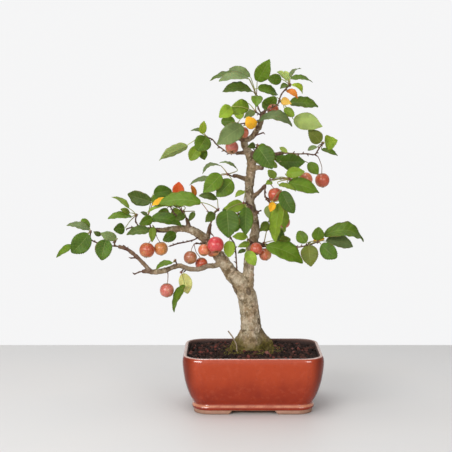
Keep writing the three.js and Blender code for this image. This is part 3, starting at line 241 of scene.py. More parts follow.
# Leaves on the branch or spur of the same name: [base x, y, height, tip x, y, height, width, turn
# towards the top, arch, tint]
SPRAYS = {
    "apex_left": [
        [6, 14, 449, 22, -5, 478, 21, 0, 0.05, "mid"], [-4, 4, 455, -33, 11, 467, 16, 40, 0.08, "grey"],
        [-6, -6, 452, -47, -10, 449, 21, 60, 0.14, "grey"],
        [-7, 23, 454, -60, 28, 452, 27, 70, 0.13, "dark"],
        [-1, -7, 435, -42, -12, 435, 21, 50, 0.16, "dark"], [6, -15, 439, 35, 5, 431, 18, 45, 0.1, "mid"],
    ],
    "crown_left": [
        [4, -14, 429, 3, -38, 414, 16, 0, 0.1, "mid"], [-7, -4, 419, -34, -20, 405, 20, 0, 0.12, "light"],
        [-30, -26, 414, -46, -40, 400, 18, 0, 0.1, "light"],
        [2, -10, 408, -13, -18, 399, 10, 10, 0.1, "grey"],
    ],
    "apex_right": [
        [52, -8, 444, 67, -10, 432, 10, 40, 0.34, "lime"], [50, -15, 452, 81, -8, 447, 16, 65, 0.14, "mid"],
        [50, -5, 454, 66, 6, 466, 11, 70, 0.2, "grey"], [47, -2, 451, 33, 14, 462, 12, 125, 0.05, "pale"],
        [49, 9, 452, 45, 28, 463, 11, 150, 0.05, "pale"], [38, -14, 451, 19, -26, 452, 15, 0, 0.1, "mid"],
        [47, -12, 444, 36, -24, 439, 9, 35, 0.1, "dark"],
    ],
    "crown_right": [
        [33, 23, 427, 15, 45, 410, 19, 5, 0.08, "mid"], [50, 8, 420, 90, 6, 415, 20, 40, 0.1, "mid"],
        [56, 10, 397, 96, 8, 387, 24, 180, 0.06, "pale"], [43, 4, 412, 56, 0, 401, 12, 0, 0.1, "light"],
    ],
    "leader_knot": [
        [-14, -16, 388, -49, -34, 364, 26, 0, 0.1, "grey"],
        [7, -12, 395, 53, -18, 389, 23, 55, 0.27, "grey"],
    ],
    "right_upper": [
        [95, 26, 365, 77, 20, 382, 19, 0, 0.06, "bronze"], [101, 26, 365, 116, 8, 368, 21, 0, 0.1, "light"],
        [91, 37, 358, 78, 44, 353, 8, 40, 0.2, "grey"], [97, 36, 355, 120, 35, 346, 12, 55, 0.1, "mid"],
    ],
    "upper_mid": [
        [39, 8, 339, 72, 2, 339, 23, 0, 0.08, "deep"], [77, 14, 337, 91, 12, 321, 15, 0, 0.08, "mid"],
        [49, 35, 351, 38, 37, 358, 7, 15, 0.05, "pale"],
    ],
    "left_upper": [
        [-91, 34, 361, -132, 40, 340, 23, 130, 0.05, "pale"],
        [-70, 20, 377, -67, 14, 395, 11, 0, 0.06, "lime"], [-69, 34, 381, -87, 40, 381, 9, 60, 0.1, "dark"],
        [-64, 18, 373, -76, 4, 354, 24, 0, 0.08, "mid"], [-74, 26, 360, -87, 22, 340, 17, 0, 0.05, "light"],
        [-72, 32, 358, -67, 34, 340, 13, 0, 0.05, "mid"],
    ],
    "front_upper": [
        [6, -42, 360, 25, -52, 332, 29, 0, 0.08, "deep"], [2, -38, 363, -8, -50, 361, 9, 5, 0.08, "dark"],
    ],
    "right_mid": [
        [44, -36, 324, 68, -48, 328, 15, 0, 0.08, "light"],
        [47, -31, 312, 90, -25, 298, 23, 35, 0.12, "mid"],
        [34, -38, 310, 57, -44, 302, 13, 60, 0.1, "olive"],
        [30, -44, 320, 19, -49, 330, 11, 5, 0.08, "olive"],
        [24, -36, 314, 16, -50, 311, 8, 30, 0.08, "light"],
    ],
    "right_hang": [
        [36, -34, 285, 28, -40, 232, 27, 50, 0.05, "light"],
        [38, -18, 280, 43, -12, 245, 18, 45, 0.05, "light"],
        [22, -20, 281, 24, -16, 261, 14, 180, 0.05, "olive"],
        [38, -38, 301, 54, -46, 272, 20, 0, 0.1, "deep"],
    ],
    "front_centre": [
        [-14, -52, 284, -40, -62, 280, 17, 0, 0.1, "light"],
        [-10, -54, 281, -11, -66, 245, 20, 0, 0.08, "deep"],
        [-36, -66, 278, -34, -76, 242, 32, 0, 0.07, "deep"],
        [-13, -46, 302, -25, -56, 295, 9, 40, 0.08, "olive"],
    ],
    "left_mid": [
        [-45, -22, 335, -69, -28, 324, 14, 70, 0.24, "grey"],
        [-23, -10, 331, -46, -5, 339, 12, 75, 0.12, "grey"],
        [-44, -28, 323, -68, -36, 299, 23, 5, 0.08, "mid"],
        [-29, -22, 315, -50, -30, 293, 23, 0, 0.08, "mid"],
        [-55, -4, 315, -88, 2, 307, 17, 70, 0.12, "grey"],
    ],
    "pink_bud": [
        [-49, -16, 289, -74, -20, 294, 13, 45, 0.1, "dark"],
        [-71, -14, 284, -129, -12, 283, 29, 50, 0.08, "mid"],
        [-54, -22, 271, -65, -34, 259, 13, 0, 0.08, "dark"],
    ],
    "low_leaf": [
        [-9, -24, 218, 3, -30, 199, 16, 0, 0.08, "light"],
        [-8, -20, 238, -28, -30, 239, 11, 15, 0.1, "light"],
        [-5, -24, 229, -21, -32, 225, 9, 25, 0.1, "olive"],
        [-10, -14, 219, -21, -22, 215, 7, 40, 0.1, "dark"],
    ],
    "dark_shoot": [[-32, -18, 232, -33, -24, 210, 16, 0, 0.06, "light"]],
    "right_inner": [
        [18, -22, 225, 68, -32, 204, 28, 35, 0.1, "mid"], [37, -6, 230, 52, -10, 233, 15, 0, 0.08, "olive"],
        [21, 0, 256, 10, -8, 244, 11, 0, 0.08, "olive"],
    ],
    "right_lower": [
        [70, -48, 232, 60, -44, 248, 16, 0, 0.06, "mid"], [85, -40, 235, 88, -46, 253, 17, 0, 0.06, "mid"],
        [95, -36, 241, 151, -26, 233, 29, 55, 0.27, "mid"],
        [74, -46, 229, 77, -54, 201, 24, 0, 0.08, "bronze"],
        [91, -46, 230, 111, -56, 213, 21, 0, 0.08, "deep"],
        [98, -34, 233, 137, -22, 225, 21, 40, 0.08, "grey"],
    ],
    "side_stub": [
        [-96, -1, 278, -146, -10, 270, 26, 80, 0.1, "light"],
        [-94, 0, 266, -106, -10, 260, 11, 0, 0.08, "dark"], [-81, 8, 269, -88, 0, 257, 8, 0, 0.08, "dark"],
    ],
    "left_top": [
        [-141, 15, 283, -175, 23, 293, 21, -10, 0.06, "dark"],
        [-138, 20, 294, -113, 28, 298, 20, 0, 0.06, "deep"],
        [-142, 13, 260, -97, 2, 250, 24, 50, 0.1, "deep"],
        [-139, 2, 262, -156, -12, 254, 14, 0, 0.08, "mid"],
        [-147, 20, 262, -157, 28, 268, 7, 50, 0.1, "dark"],
    ],
    "left_under": [
        [-142, 6, 244, -175, 0, 239, 17, 45, 0.06, "dark"],
        [-138, 4, 249, -139, -2, 228, 11, 20, 0.06, "olive"],
        [-107, 12, 239, -124, 2, 230, 15, 0, 0.08, "deep"],
    ],
    "left_bud": [
        [-173, 24, 273, -198, 30, 289, 15, 70, 0.12, "olive"],
        [-171, 18, 267, -183, 8, 273, 8, 35, 0.08, "olive"],
        [-169, 24, 261, -202, 16, 259, 17, 60, 0.12, "mid"],
        [-179, 24, 245, -194, 16, 244, 16, 5, 0.08, "deep"],
    ],
    "far_left_inner": [
        [-183, -56, 239, -203, -66, 247, 13, 0, 0.08, "grey"],
        [-197, -58, 238, -202, -66, 211, 23, 0, 0.08, "deep"],
        [-204, -50, 243, -214, -54, 248, 7, 0, 0.05, "dark"],
    ],
    "far_left": [
        [-222, -42, 244, -244, -50, 219, 26, 0, 0.08, "deep"],
        [-221, -36, 249, -253, -34, 256, 16, 60, 0.1, "grey"],
        [-222, -30, 251, -234, -22, 262, 12, 0, 0.06, "mid"],
        [-244, -34, 227, -268, -30, 210, 15, 55, 0.06, "mid"],
    ],
    "hang_spur": [[-93, -44, 175, -109, -48, 138, 20, 60, 0.08, "mid"]],
    "low_spur": [[-109, -42, 205, -132, -48, 196, 13, 60, 0.12, "mid"]],
    "back_centre": [
        [-24, 76, 265, -43, 96, 259, 16, 0, 0.1, "mid"], [-20, 76, 256, -31, 84, 233, 17, 0, 0.1, "deep"],
        [-12, 76, 266, -3, 96, 273, 13, 0, 0.1, "light"], [-12, 72, 256, -7, 80, 237, 16, 0, 0.1, "mid"],
    ],
    "back_upper": [
        [23, 70, 350, 9, 84, 358, 16, 0, 0.1, "mid"], [35, 72, 341, 64, 82, 335, 17, 0, 0.1, "deep"],
        [30, 70, 339, 27, 90, 326, 17, 0, 0.1, "light"], [33, 76, 347, 45, 102, 340, 19, 0, 0.12, "mid"],
    ],
    "back_left": [
        [-123, 70, 278, -147, 78, 282, 17, 0, 0.1, "mid"],
        [-116, 70, 277, -95, 76, 281, 17, 0, 0.1, "deep"],
        [-122, 72, 269, -133, 80, 250, 16, 0, 0.1, "mid"],
        [-112, 68, 270, -102, 78, 250, 16, 0, 0.1, "light"],
        [-119, 74, 279, -125, 98, 291, 17, 0, 0.1, "mid"],
    ],
    "back_right": [
        [38, 68, 251, 44, 80, 266, 13, 0, 0.1, "mid"], [35, 68, 241, 41, 78, 220, 17, 0, 0.1, "deep"],
        [28, 68, 242, 15, 84, 242, 13, 0, 0.1, "mid"], [39, 70, 244, 51, 94, 238, 14, 20, 0.1, "light"],
    ],
    "back_crown": [
        [-24, 56, 393, -44, 60, 394, 17, 0, 0.1, "mid"], [-23, 52, 386, -38, 60, 375, 17, 0, 0.1, "deep"],
        [-17, 54, 397, -20, 64, 413, 14, 0, 0.1, "light"], [-16, 54, 387, -28, 78, 383, 17, 0, 0.1, "mid"],
    ],
}
# Single leaves that have turned, in the same values
TURNED = {
    "yellow_curled": [2, -18, 386, -9, -26, 400, 16, 0, 0.18, "yellow"],
    "yellow_crown": [38, -12, 423, 51, -24, 418, 11, 0, 0.15, "maize"],
    "orange_curled": [45, -14, 436, 60, -20, 425, 10, 30, 0.3, "orange"],
    "yellow_hang": [27, -38, 286, 22, -46, 274, 10, 0, 0.12, "yellow"],
    "red_orange": [-104, 24, 289, -103, 26, 310, 17, 0, 0.08, "redorange"],
    "orange_upright": [-80, 4, 290, -85, 6, 307, 9, 40, 0.1, "orange"],
    "yellow_left": [-118, 4, 288, -139, -2, 279, 12, 50, 0.1, "yellow"],
    "yellow_right": [81, -34, 233, 97, -31, 236, 8, 30, 0.08, "yellow"],
    "yellow_low": [-95, -32, 189, -89, -34, 161, 18, 0, 0.06, "straw"],
}
# Apples: [x, y, height, radius, kind] of each on its spur
FRUIT = {
    "pink_upper": [[-29, -6, 359, 9, "rose"]], "orange_upper": [[-14, -9, 379, 8, "coral"]],
    "red_crown": [[28, 16, 410, 8, "red"]], "orange_right": [[72, -14, 316, 9, "coral"]],
    "red_right": [[98, 30, 312, 10, "red"]], "red_mid": [[30, -18, 295, 9.5, "red"]],
    "red_hidden": [[43, 0, 256, 8.5, "coral"]], "bright_red": [[-51, -33, 228, 11, "bright"]],
    "amber_pair": [[-55, -13, 218, 9, "coral"], [-67, -26, 220, 8, "coral"]],
    "brown_pair": [[-86, -11, 208, 9, "brown"], [-71, 0, 198, 8.5, "red"]],
    "centre_pair": [[4, -20, 221, 8.5, "red"], [17, -8, 212, 8.5, "coral"]],
    "left_pair": [[-128, 18, 217, 9.5, "amber"], [-147, 8, 216, 10.5, "red"]],
    "hanging_pink": [[-117, -40, 167, 9.5, "rose"]],
}

# Colours as they look on a screen, 0 to 255 a channel
LEAF_TINTS = {
    # the greyed green of some leaves is a painted sheen
    "mid": (92, 122, 24), "deep": (74, 106, 22), "dark": (78, 98, 34), "grey": (112, 130, 78),
    "light": (138, 166, 46), "pale": (172, 194, 88), "olive": (116, 138, 42), "lime": (160, 182, 46),
    "bronze": (100, 110, 38), "straw": (226, 222, 136), "maize": (216, 180, 86), "yellow": (234, 184, 40),
    "orange": (206, 122, 46), "redorange": (200, 78, 30),
}
# Ground colour and flush of each kind of apple
APPLE_TINTS = {
    "rose": ((202, 146, 112), (188, 94, 82)), "bright": ((216, 104, 80), (200, 48, 58)),
    "coral": ((214, 148, 88), (200, 98, 66)), "amber": ((222, 170, 86), (208, 130, 68)),
    "red": ((206, 126, 66), (188, 76, 46)), "brown": ((184, 130, 80), (164, 92, 62)),
}


def pigment(red, green, blue):
    """A colour as it looks on a screen, as the colour a shader takes."""
    shares = [channel / 255 for channel in (red, green, blue)]
    linear = [s / 12.92 if s <= 0.04045 else ((s + 0.055) / 1.055) ** 2.4 for s in shares]
    return (*linear, 1.0)


def as_colour(value):
    """What a colour socket takes, from a wire, a pigment's three numbers or a colour a user chose."""
    if isinstance(value, Wire):
        return value
    return pigment(*value) if len(value) == 3 else (*value[:3], 1.0)


# Vector sums


def unit(vector):
    return vector / max(float(np.linalg.norm(vector)), 1e-9)


def square_to(way):
    """Two directions square to a way and to each other."""
    aside = unit(np.cross(way, [0, 1.0, 0] if abs(way[1]) < 0.9 else [1.0, 0, 0]))
    return aside, np.cross(way, aside)


def blend_between(low, high, value):
    """Rises smoothly from 0 at low to 1 at high."""
    share = np.clip((np.asarray(value, float) - low) / (high - low), 0, 1)
    return share * share * (3 - 2 * share)


def smooth_path(stations, step):
    """A centripetal curve through the stations, whose first three values are the place, as rows about a
    step apart. Values after the third run straight from station to station."""
    rows = np.array(stations, float)
    places = rows[:, :3]
    before, after = 2 * places[0] - places[1], 2 * places[-1] - places[-2]
    ends = np.vstack([before, places, after])
    path = []
    for i in range(len(rows) - 1):
        a, b, c, d = ends[i : i + 4]
        reach = [max(float(np.linalg.norm(q - p)), 1e-8) ** 0.5 for p, q in ((a, b), (b, c), (c, d))]
        leave = (b - a) / reach[0] - (c - a) / (reach[0] + reach[1]) + (c - b) / reach[1]
        arrive = (c - b) / reach[1] - (d - b) / (reach[1] + reach[2]) + (d - c) / reach[2]
        leave, arrive = leave * reach[1], arrive * reach[1]
        count = max(1, math.ceil(float(np.linalg.norm(c - b)) / step))
        for k in range(count):
            t = k / count
            squared, cubed = -3 * b + 3 * c - 2 * leave - arrive, 2 * b - 2 * c + leave + arrive
            place = b + leave * t + squared * t**2 + cubed * t**3
            path.append(np.concatenate([place, rows[i, 3:] + (rows[i + 1, 3:] - rows[i, 3:]) * t]))
    path.append(rows[-1])
    return np.array(path)


class Skin:
    """The corners and faces of one piece, with what its finishes read at each corner."""

    def __init__(self, **reads):
        self.points, self.faces, self.finishes = [], [], []
        self.count = 0
        self.reads = {name: (width, []) for name, width in reads.items()}

    def add(self, points, faces, finish=0, **values):
        points = np.asarray(points, float).reshape(-1, 3)
        self.points.append(points)
        self.faces.extend(tuple(corner + self.count for corner in face) for face in faces)
        self.finishes.extend([finish] * len(faces))
        self.count += len(points)
        for name, (width, held) in self.reads.items():
            value = np.asarray(values.get(name, np.zeros(width)), float)
            held.append(np.broadcast_to(value.reshape(-1, width), (len(points), width)))

    def mesh(self, name, smooth=True):
        places = np.vstack(self.points) * MM + ORIGIN
        mesh = bpy.data.meshes.new(name)
        mesh.from_pydata(places.tolist(), [], self.faces)
        mesh.polygons.foreach_set("material_index", self.finishes)
        mesh.polygons.foreach_set("use_smooth", [smooth] * len(mesh.polygons))
        for label, (_, held) in self.reads.items():
            note(mesh, label, np.vstack(held))
        mesh.update()
        return mesh


def note(mesh, label, values):
    """Keeps a number, a vector or a colour at each corner of a mesh, for its finish to read."""
    values = np.asarray(values, np.float32)
    width = 1 if values.ndim == 1 else values.shape[1]
    kind, field = {1: ("FLOAT", "value"), 3: ("FLOAT_VECTOR", "vector"), 4: ("FLOAT_COLOR", "color")}[width]
    mesh.attributes.new(label, kind, "POINT").data.foreach_set(field, values.ravel())


def rings_to_faces(rings, sides, close_ends=True):
    """Faces of a stack of rings with the same number of corners, listed ring by ring."""
    faces = []
    for i in range(rings - 1):
        for j in range(sides):
            a, b = i * sides + j, i * sides + (j + 1) % sides
            faces.append((a, b, b + sides, a + sides))
    if close_ends:
        faces.append(tuple(range(sides))[::-1])
        faces.append(tuple(range((rings - 1) * sides, rings * sides)))
    return faces


def stem(path, sides):
    """Corners and faces of a round stem along rows of [x, y, z, radius]."""
    places, radii = path[:, :3], path[:, 3]
    ways = np.gradient(places, axis=0)
    ways = ways / np.maximum(np.linalg.norm(ways, axis=1, keepdims=True), 1e-9)
    side = np.array([1.0, 0, 0]) if abs(ways[0][2]) > 0.9 else np.array([0, 0, 1.0])
    turns = np.arange(sides) / sides * 2 * math.pi
    corners = []
    for place, way, radius in zip(places, ways, radii):
        side = unit(side - way * side.dot(way))
        other = np.cross(way, side)
        ring = np.outer(np.cos(turns), side) + np.outer(np.sin(turns), other)
        corners.append(place + radius * ring)
    return np.vstack(corners), rings_to_faces(len(path), sides)


def turned_shape(profile, centre, up, sides, swell):
    """A lathe turned shape about up through the centre, from rows of [rise, reach], closed at its poles.
    swell gives a share of the reach from the rise and the angle."""
    aside, second = square_to(up)
    turns = np.arange(sides) / sides * 2 * math.pi
    circle = np.outer(np.cos(turns), aside) + np.outer(np.sin(turns), second)
    corners = [centre + up * rise + reach * swell(rise, turns)[:, None] * circle for rise, reach in profile]
    return np.vstack(corners), rings_to_faces(len(profile), sides), turns


def finished(name, mesh, finishes=()):
    """Puts a mesh in the scene as a piece with its finishes."""
    for finish in finishes:
        mesh.materials.append(finish)
    piece = bpy.data.objects.new(name, mesh)
    bpy.context.scene.collection.objects.link(piece)
    return piece


def settle(piece, slot, *nodes):
    """The piece rides on the tree's one body and stands for the given solids."""
    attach(piece, "root")
    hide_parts(*nodes)


def as_plain_mesh(piece, name):
    """The piece's shape with its modifiers worked in, as a mesh of its own. The piece is removed."""
    graph = bpy.context.evaluated_depsgraph_get()
    shaped = piece.evaluated_get(graph)
    mesh = bpy.data.meshes.new_from_object(shaped, preserve_all_data_layers=True, depsgraph=graph)
    mesh.name = name
    piece.modifiers.clear()
    bpy.data.objects.remove(piece)
    return mesh


# Node trees


class Wire:
    """A node's output. Sums on it add the nodes that work them out."""

    def __init__(self, bench, socket):
        self.bench, self.socket = bench, socket

    def __add__(self, other):
        return self.bench.maths("ADD", self, other)

    __radd__ = __add__

    def __sub__(self, other):
        return self.bench.maths("SUBTRACT", self, other)

    def __rsub__(self, other):
        return self.bench.maths("SUBTRACT", other, self)

    def __mul__(self, other):
        return self.bench.maths("MULTIPLY", self, other)

    __rmul__ = __mul__

    def __abs__(self):
        return self.bench.maths("ABSOLUTE", self)


class Bench:
    """A node tree that is being wired."""

    def __init__(self, tree):
        self.tree = tree

    def node(self, kind, settings=None, values=None, output=0):
        """One node: its settings first, then a value or a wire for each named or numbered socket."""
        node = self.tree.nodes.new(kind)
        for name, setting in (settings or {}).items():
            if name == "stops":
                elements = node.color_ramp.elements
                for _ in setting[2:]:
                    elements.new(0.5)
                for element, (place, colour) in zip(elements, setting):
                    element.position, element.color = place, as_colour(colour)
            else:
                setattr(node, name, setting)
        for name, value in (values or {}).items():
            if isinstance(value, Wire):
                self.tree.links.new(value.socket, node.inputs[name])
            else:
                node.inputs[name].default_value = value
        return Wire(self, node.outputs[output]) if node.outputs else node

    def maths(self, operation, *values):
        return self.node("ShaderNodeMath", {"operation": operation}, dict(enumerate(values)))

    def vectors(self, operation, *values):
        return self.node("ShaderNodeVectorMath", {"operation": operation}, dict(enumerate(values)))

    def scaled(self, vector, share):
        return self.node("ShaderNodeVectorMath", {"operation": "SCALE"}, {0: vector, "Scale": share})

    def mixed(self, share, first, second, blend="MIX"):
        """A colour between two colours."""
        settings = {"data_type": "RGBA", "blend_type": blend, "clamp_factor": True}
        values = {0: share, 6: as_colour(first), 7: as_colour(second)}
        return self.node("ShaderNodeMix", settings, values, 2)

    def coats(self, body, *coats):
        """Lays coats over a colour, each a share and its own colour."""
        for share, colour in coats:
            body = self.mixed(share, body, colour)
        return body

    def band(self, value, low, high, start=0.0, end=1.0):
        """Runs smoothly from start where value is low to end where it is high."""
        values = {0: value, 1: low, 2: high, 3: start, 4: end}
        return self.node("ShaderNodeMapRange", {"interpolation_type": "SMOOTHSTEP"}, values)

    def ramp(self, value, *stops):
        """Runs through the colours of two or more stops, each a value and its colour."""
        return self.node("ShaderNodeValToRGB", {"stops": stops}, {0: value})

    def cloud(self, place, size, detail=3.0, roughness=0.55, distortion=0.0, output=0):
        """Noise whose lumps are about size millimetres across."""
        values = {"Vector": place, "Scale": 1 / (size * MM), "Detail": detail, "Roughness": roughness}
        return self.node("ShaderNodeTexNoise", None, {**values, "Distortion": distortion}, output)

    def cells(self, place, size, feature="F1"):
        """Distance to the nearest of points scattered about size millimetres apart."""
        values = {"Vector": place, "Scale": 1 / (size * MM)}
        return self.node("ShaderNodeTexVoronoi", {"feature": feature}, values)

    def stretched(self, place, scale):
        return self.node("ShaderNodeMapping", {"vector_type": "POINT"}, {"Vector": place, "Scale": scale})

    def read(self, name, output="Fac"):
        """What a piece holds at its corners under that name."""
        return self.node("ShaderNodeAttribute", {"attribute_name": name}, None, output)

    def parts(self, vector):
        """The three numbers of a vector."""
        node = self.node("ShaderNodeSeparateXYZ", None, {0: vector}).socket.node
        return [Wire(self, socket) for socket in node.outputs]

    def bumped(self, height, strength, depth):
        """A normal pushed by a height between 0 and 1, as deep as depth millimetres."""
        values = {"Strength": strength, "Distance": depth * MM, "Height": height}
        return self.node("ShaderNodeBump", None, values)

    def chance(self, seed, low=0.0, high=1.0):
        """A number drawn for each point or copy."""
        values = {2: low, 3: high, "Seed": seed}
        return self.node("FunctionNodeRandomValue", {"data_type": "FLOAT"}, values, 1)

    def chance_vector(self, seed, low, high):
        values = {0: low, 1: high, "Seed": seed}
        return self.node("FunctionNodeRandomValue", {"data_type": "FLOAT_VECTOR"}, values)

    def cone(self, sides, segments, top, bottom, height):
        values = {"Vertices": sides, "Side Segments": segments, "Fill Segments": 1}
        ends = {"Radius Top": top, "Radius Bottom": bottom, "Depth": height}
        return self.node("GeometryNodeMeshCone", None, {**values, **ends})

    def copies(self, points, shape, turn, size=(1.0, 1.0, 1.0)):
        """A copy of a shape at each point."""
        values = {"Points": points, "Instance": shape, "Rotation": turn, "Scale": size}
        return self.node("GeometryNodeInstanceOnPoints", None, values)

    def position(self):
        return self.node("GeometryNodeInputPosition")

    def realised(self, shape):
        """Copies made into a shape of their own."""
        return self.node("GeometryNodeRealizeInstances", None, {"Geometry": shape})

    def joined(self, *shapes):
        both = self.node("GeometryNodeJoinGeometry")
        for shape in shapes:
            self.tree.links.new(shape.socket, both.socket.node.inputs[0])
        return both


READS = ("Base Color", "Roughness", "Normal", "Coat Weight")


def finish(name, **fixed):
    """Turns a wiring function into one that makes the finish of that name. The wiring function gets the
    bench, the place on the piece and the user's choices, and returns what the shader's READS take. Fixed
    values go straight on the shader."""

    def holding(wire_up):
        def make(looks=None):
            material = bpy.data.materials.new(name)
            material.use_nodes = True
            bench = Bench(material.node_tree)
            shader = next(n for n in material.node_tree.nodes if n.type == "BSDF_PRINCIPLED")
            for socket, value in fixed.items():
                shader.inputs[socket.replace("_", " ").title().replace("Ior", "IOR")].default_value = value
            place = bench.node("ShaderNodeTexCoord", None, None, "Object")
            for socket, wire in zip(READS, wire_up(bench, place, looks)):
                bench.tree.links.new(wire.socket, shader.inputs[socket])
            return material

        return make

    return holding


def grown(name, source, recipe, sizes, material):
    """Runs a geometry recipe over a source mesh and returns the result as a plain mesh."""
    tree = bpy.data.node_groups.new(name, "GeometryNodeTree")
    tree.interface.new_socket("Source", in_out="INPUT", socket_type="NodeSocketGeometry")
    held = {}
    for label, value in sizes.items():
        kind = "NodeSocketInt" if isinstance(value, int) else "NodeSocketFloat"
        held[label] = tree.interface.new_socket(label, in_out="INPUT", socket_type=kind)
    tree.interface.new_socket("Result", in_out="OUTPUT", socket_type="NodeSocketGeometry")
    bench = Bench(tree)
    entry = bench.node("NodeGroupInput").socket.node
    wires = {socket.name: Wire(bench, socket) for socket in entry.outputs if socket.name}
    values = {"Geometry": bench.realised(recipe(bench, wires)), "Material": material}
    shape = bench.node("GeometryNodeSetMaterial", None, values)
    bench.node("NodeGroupOutput", None, {"Result": shape})
    piece = finished(name, source)
    modifier = piece.modifiers.new(name, "NODES")
    modifier.node_group = tree
    for label, value in sizes.items():
        modifier[held[label].identifier] = value
    mesh = as_plain_mesh(piece, name)
    mesh.materials.clear()
    return mesh


# Pot and soil


def at_height(flat, height):
    """Rows of [x, y] as places on a level."""
    return np.column_stack([flat, np.full(len(flat), float(height))])


def pot_corner(inset, sx, sy, start):
    """One round corner of the pot's outline, as rows of [x, y] from a share of half a turn on."""
    radius = POT_CORNER_RADIUS - CORNER_TIGHTENING * inset
    angles = (start + np.linspace(0, 0.5, CORNER_STEPS)) * math.pi
    x = sx * (POT_LENGTH / 2 - inset - radius) + radius * np.cos(angles)
    y = sy * (POT_DEPTH / 2 - inset - radius) + radius * np.sin(angles)
    return np.column_stack([x, y])


def pot_ring(height, inset):
    """The pot's outline on a level, some way in from its widest, as a ring of places."""
    corners = [pot_corner(inset, *way) for way in ((1, 1, 0), (-1, 1, 0.5), (-1, -1, 1), (1, -1, 1.5))]
    ring = []
    for i, corner in enumerate(corners):
        straight = np.linspace(corner[-1], corners[(i + 1) % 4][0], STRAIGHT_STEPS[i % 2] + 1)
        ring += [corner, straight[1:-1]]
    return at_height(np.vstack(ring), height)


def foot_shape(sx, sy):
    """One corner foot: a block along the corner whose ends slant out towards the table."""
    outer, inner, top = FOOT_INSET, FOOT_INSET + FOOT_WALL, FOOT_HEIGHT + FOOT_SUNK
    outline = [(top, outer), (0.5, outer + 0.9), (0, outer + 1.6)]
    outline += [(0, inner - 0.6), (0.5, inner), (top, inner)]
    rails = []
    for height, inset in outline:
        share = 1 - height / FOOT_HEIGHT
        front, side = (0.5 * (above + (below - above) * share) for above, below in (FRONT_GAP, SIDE_GAP))
        x, y = POT_LENGTH / 2 - inset, POT_DEPTH / 2 - inset
        rail = np.vstack([[[x, side]], pot_corner(inset, 1, 1, 0), [[front, y]]])
        rails.append(at_height(rail * (sx, sy), height))
    rings = np.stack(rails, 1)
    faces = rings_to_faces(*rings.shape[:2])
    if sx * sy > 0:
        faces = [face[::-1] for face in faces]
    return rings.reshape(-1, 3), faces


def pot_mesh():
    """The pot: one glazed wall turned over at the rim, on four corner feet, with two drain holes."""
    profile = smooth_path([[0, inset, height] for height, inset in POT_PROFILE], PROFILE_STEP)
    rings = [pot_ring(height, inset) for _, inset, height in profile]
    sides = len(rings[0])
    faces = rings_to_faces(len(rings), sides)
    rim = int(np.argmax(profile[:, 2])) + round(RIM_WIDTH / PROFILE_STEP)
    inside = [face[0] // sides >= rim for face in faces]
    inside[-2:] = [False, True]
    skin = Skin()
    skin.add(np.vstack(rings), faces)
    skin.finishes = [2 if hidden else 0 for hidden in inside]
    for sx, sy in ((1, 1), (-1, 1), (-1, -1), (1, -1)):
        skin.add(*foot_shape(sx, sy), finish=1)
    piece = finished("pot_blank", skin.mesh("pot_blank"))
    drills = []
    for side in (-1, 1):
        hole = Skin()
        hole.add(*stem(np.array([[side * DRAIN_OFFSET, 0, z, DRAIN_RADIUS] for z in (-2.0, 24.0)]), 40))
        drills.append(finished("drill", hole.mesh("drill", False)))
        cut = piece.modifiers.new("drain", "BOOLEAN")
        cut.operation, cut.solver, cut.object = "DIFFERENCE", "EXACT", drills[-1]
    mesh = as_plain_mesh(piece, "pot_glazed")
    for drill in drills:
        bpy.data.objects.remove(drill)
    return mesh


def trunk_ring(station, angles, clearance=0.0):
    """The trunk's section on a level, with the lobes of its roots."""
    x, y, height, radius, lobe, depth = station
    reach = radius * (1 + lobe * np.cos(5 * angles + 0.6) + 0.35 * lobe * np.sin(2 * angles)) + clearance
    flat = np.column_stack([x + reach * np.cos(angles), y + depth * reach * np.sin(angles)])
    return at_height(flat, height)


def soil_height(x, y):
    away = np.hypot(x - TRUNK_FOOT[0], y - TRUNK_FOOT[1]) / SOIL_MOUND_SPREAD
    lumps = np.sin(0.83 * x + 1.7 * np.sin(0.31 * y)) * np.cos(0.77 * y + 1.3 * np.sin(0.37 * x))
    return SOIL_EDGE_HEIGHT + SOIL_MOUND * np.exp(-away * away) + GRAIN_RELIEF * lumps


def soil_surface(shares, sink):
    """Rings of the soil's surface, from the pot's wall (share 0) to the trunk (share 1)."""
    wall = pot_ring(SOIL_EDGE_HEIGHT, SOIL_EDGE_INSET)
    angles = np.arctan2(wall[:, 1] - TRUNK_FOOT[1], wall[:, 0] - TRUNK_FOOT[0])
    foot = trunk_ring(TRUNK[2], angles, TRUNK_CLEARANCE)
    rings = []
    for share in shares:
        ring = wall + (foot - wall) * share
        ring[:, 2] = soil_height(ring[:, 0], ring[:, 1]) - sink
        rings.append(ring)
    return rings, angles


def soil_bed_mesh():
    """The packed soil under the loose grains, with the hole the trunk stands in."""
    rings, angles = soil_surface(np.linspace(0, 1, 30), BED_SINK)
    sunk = smooth_path([[0, inset, height] for height, inset in SOIL_PROFILE], 6)
    wall = [pot_ring(height, inset + WALL_CLEARANCE) for _, inset, height in sunk]
    hole = [trunk_ring(station, angles, TRUNK_CLEARANCE) for station in (TRUNK[1], TRUNK[0])]
    hole[-1][:, 2] -= TRUNK_CLEARANCE
    stack = wall[:-1] + rings + hole
    skin = Skin()
    skin.add(np.vstack(stack), rings_to_faces(len(stack), len(angles)))
    return skin.mesh("soil_bed")


def strip(name, rings):
    """An open strip of rings, to strew things over."""
    skin = Skin()
    skin.add(np.vstack(rings), rings_to_faces(len(rings), len(rings[0]), close_ends=False))
    return skin.mesh(name)


def soil_strip(name, low, high, count, sink):
    return strip(name, soil_surface(np.linspace(low, high, count), sink)[0])


def root_strip(name, stations):
    angles = np.linspace(0, 2 * math.pi, 72, endpoint=False)
    return strip(name, [trunk_ring(station, angles) for station in stations])


